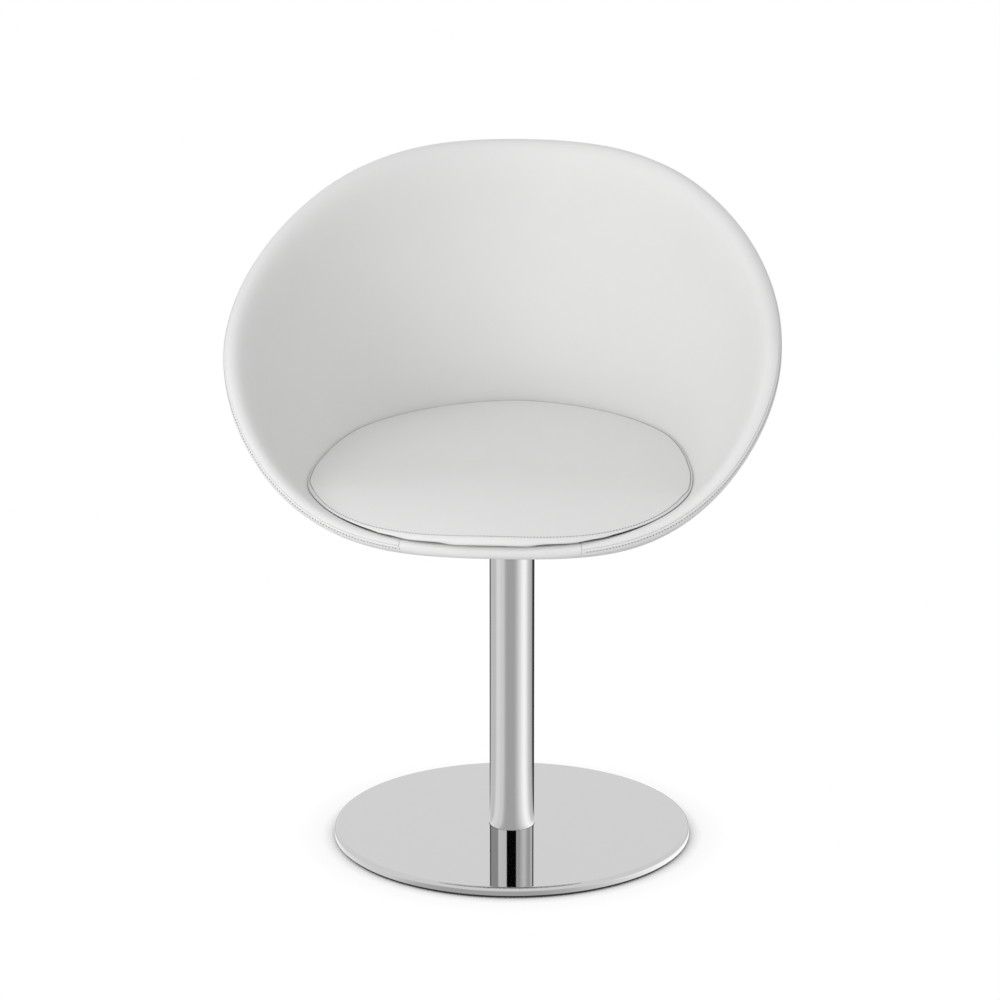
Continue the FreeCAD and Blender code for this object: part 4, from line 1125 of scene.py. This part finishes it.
def make_stitches(name, path, closed, body, sizes, thread, hole):
    """Stitches along a path, as one plain mesh that rides on a body."""
    count = len(path)
    edges = [(index, index + 1) for index in range(count - 1)]
    if closed:
        edges.append((count - 1, 0))
    mesh = bpy.data.meshes.new(name)
    mesh.from_pydata([tuple(point) for point in path], edges, [])
    item = bpy.data.objects.new(name, mesh)
    bpy.context.scene.collection.objects.link(item)
    tree = bpy.data.node_groups.get("stitch_row") or stitch_tree()
    maker = item.modifiers.new("stitches", "NODES")
    maker.node_group = tree
    values = {"Pitch": sizes.pitch, "Thread": sizes.thread, "Stitch length": sizes.stitch, "Hole": sizes.hole,
              "Thread material": thread, "Hole material": hole}
    for socket in tree.interface.items_tree:
        if socket.in_out == "INPUT" and socket.name in values:
            maker[socket.identifier] = values[socket.name]
    bake_modifiers(item)
    item.data.shade_smooth()
    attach(item, body)
    return item


def stitch_tree():
    """Geometry nodes that set a stitch and, half a step on, a dark bead of painted shade for a needle hole at every
    step of a path.
    """
    tree = bpy.data.node_groups.new("stitch_row", "GeometryNodeTree")
    for name, kind in (("Geometry", "Geometry"), ("Pitch", "Float"), ("Thread", "Float"),
                       ("Stitch length", "Float"), ("Hole", "Float"), ("Thread material", "Material"),
                       ("Hole material", "Material")):
        tree.interface.new_socket(name=name, in_out="INPUT", socket_type="NodeSocket" + kind)
    tree.interface.new_socket(name="Geometry", in_out="OUTPUT", socket_type="NodeSocketGeometry")
    given = tree.nodes.new("NodeGroupInput").outputs
    result = tree.nodes.new("NodeGroupOutput").inputs
    line = add_node(tree, "GeometryNodeMeshToCurve", {"Mesh": given["Geometry"]}).outputs["Curve"]
    joined = tree.nodes.new("GeometryNodeJoinGeometry")
    # The second row is dark beads of painted shade where the needle holes are.
    rows = (("Thread", "Stitch length", "Thread material", 0.0), ("Hole", "Hole", "Hole material", 0.5))
    for width, span, material, shift in rows:
        trimmed = add_node(tree, "GeometryNodeTrimCurve", {"Curve": line}, mode="LENGTH")
        starts, ends = [[socket for socket in trimmed.inputs if socket.name == name and socket.type == "VALUE"]
                        for name in ("Start", "End")]
        feed(tree, starts[-1], math_node(tree, "MULTIPLY", given["Pitch"], shift))
        feed(tree, ends[-1], LONGEST_SEAM)
        even = add_node(tree, "GeometryNodeResampleCurve",
                        {"Curve": trimmed.outputs["Curve"], "Length": given["Pitch"]}, mode="LENGTH")
        bead = add_node(tree, "GeometryNodeMeshUVSphere", {"Segments": 6, "Rings": 4, "Radius": 0.5})
        size = add_node(tree, "ShaderNodeCombineXYZ", {"X": given[width], "Y": given[width], "Z": given[span]})
        shape = add_node(tree, "GeometryNodeTransform",
                         {"Geometry": bead.outputs["Mesh"], "Scale": size.outputs["Vector"]})
        tangent = tree.nodes.new("GeometryNodeInputTangent").outputs["Tangent"]
        aim = add_node(tree, "FunctionNodeAlignRotationToVector", {"Vector": tangent}, axis="Z")
        placed = add_node(tree, "GeometryNodeInstanceOnPoints",
                          {"Points": even.outputs["Curve"], "Instance": shape.outputs["Geometry"],
                           "Rotation": aim.outputs["Rotation"]})
        real = add_node(tree, "GeometryNodeRealizeInstances", {"Geometry": placed.outputs["Instances"]})
        painted = add_node(tree, "GeometryNodeSetMaterial",
                           {"Geometry": real.outputs["Geometry"], "Material": given[material]})
        feed(tree, joined.inputs["Geometry"], painted.outputs["Geometry"])
    feed(tree, result["Geometry"], joined.outputs["Geometry"])
    return tree


class ARMCHAIR_OT_inner_parts(bpy.types.Operator):
    """Finishes of the parts inside and underneath"""

    bl_idname = "armchair.inner_parts"
    bl_label = "Inner parts"

    def execute(self, context):
        looks = context.scene.armchair_finishes
        steel = mottled("zinc_steel", (0.52, 0.52, 0.54), 0.34, 0.00001, scale=500.0, spread=0.12, Metallic=1.0)
        finishes = {
            "ballast_plate": mottled("cast_ballast", (0.06, 0.06, 0.065), 0.62, 0.0002, scale=260.0),
            "floor_pad": mottled("floor_rubber", looks.rubber, 0.75, 0.0001, scale=420.0),
            "upper_bush": mottled("bush_plastic", (0.05, 0.05, 0.055), 0.42, 0.00002, scale=650.0),
            "mounting_plate": mottled("powder_coat", (0.035, 0.035, 0.038), 0.5, 0.00006, scale=900.0),
            "shell_core": mottled("rigid_foam", (0.72, 0.68, 0.58), 0.8, 0.0003, scale=380.0, strength=0.2),
            "seat_lining": mottled("woven_lining", looks.lining, 0.9, 0.0002, scale=1400.0, strength=0.4),
            "seat_hook_strips": mottled("hook_tape", (0.04, 0.04, 0.042), 0.85, 0.0004, scale=1100.0, strength=0.5),
        }
        finishes["lower_bush"] = finishes["thrust_washer"] = finishes["upper_bush"]
        finishes["cushion_loop_strips"] = finishes["seat_hook_strips"]
        for node in ("column_foot_plug", "column_screws", "swivel_spindle", "retaining_clip", "seat_screws",
                     "seat_washers", "tee_nuts"):
            finishes[node] = steel
        for node, material in finishes.items():
            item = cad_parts[node]
            for slot in item.material_slots:
                slot.material = material
            if not item.material_slots:
                item.data.materials.append(material)
        return {"FINISHED"}


class ARMCHAIR_PT_panel(bpy.types.Panel):
    """Steps that dress the armchair"""

    bl_idname = "ARMCHAIR_PT_panel"
    bl_label = "Armchair"
    bl_space_type = "VIEW_3D"
    bl_region_type = "UI"
    bl_category = "Armchair"

    def draw(self, context):
        for step in STEPS:
            self.layout.operator(step.bl_idname)


GROUPS = (
    ("armchair_bucket", BucketSizes), ("armchair_cushion", CushionSizes), ("armchair_stitches", StitchSizes),
    ("armchair_base", BaseSizes), ("armchair_finishes", Finishes), ("armchair_stage", StageSizes),
)
STEPS = (
    ARMCHAIR_OT_stage, ARMCHAIR_OT_base, ARMCHAIR_OT_bucket, ARMCHAIR_OT_cushion, ARMCHAIR_OT_stitches,
    ARMCHAIR_OT_inner_parts,
)


def register():
    """Make the classes known, and hang the properties on the scene."""
    for name, group in GROUPS:
        bpy.utils.register_class(group)
        setattr(bpy.types.Scene, name, PointerProperty(type=group))
    for step in STEPS:
        bpy.utils.register_class(step)
    bpy.utils.register_class(ARMCHAIR_PT_panel)


def unregister():
    """Take back what register made."""
    bpy.utils.unregister_class(ARMCHAIR_PT_panel)
    for step in reversed(STEPS):
        bpy.utils.unregister_class(step)
    for name, group in reversed(GROUPS):
        delattr(bpy.types.Scene, name)
        bpy.utils.unregister_class(group)


def main():
    """Dress the armchair step by step."""
    register()
    bpy.ops.armchair.stage()
    bpy.ops.armchair.base()
    bpy.ops.armchair.bucket()
    bpy.ops.armchair.cushion()
    bpy.ops.armchair.stitches()
    bpy.ops.armchair.inner_parts()


if __name__ == "__main__":
    main()
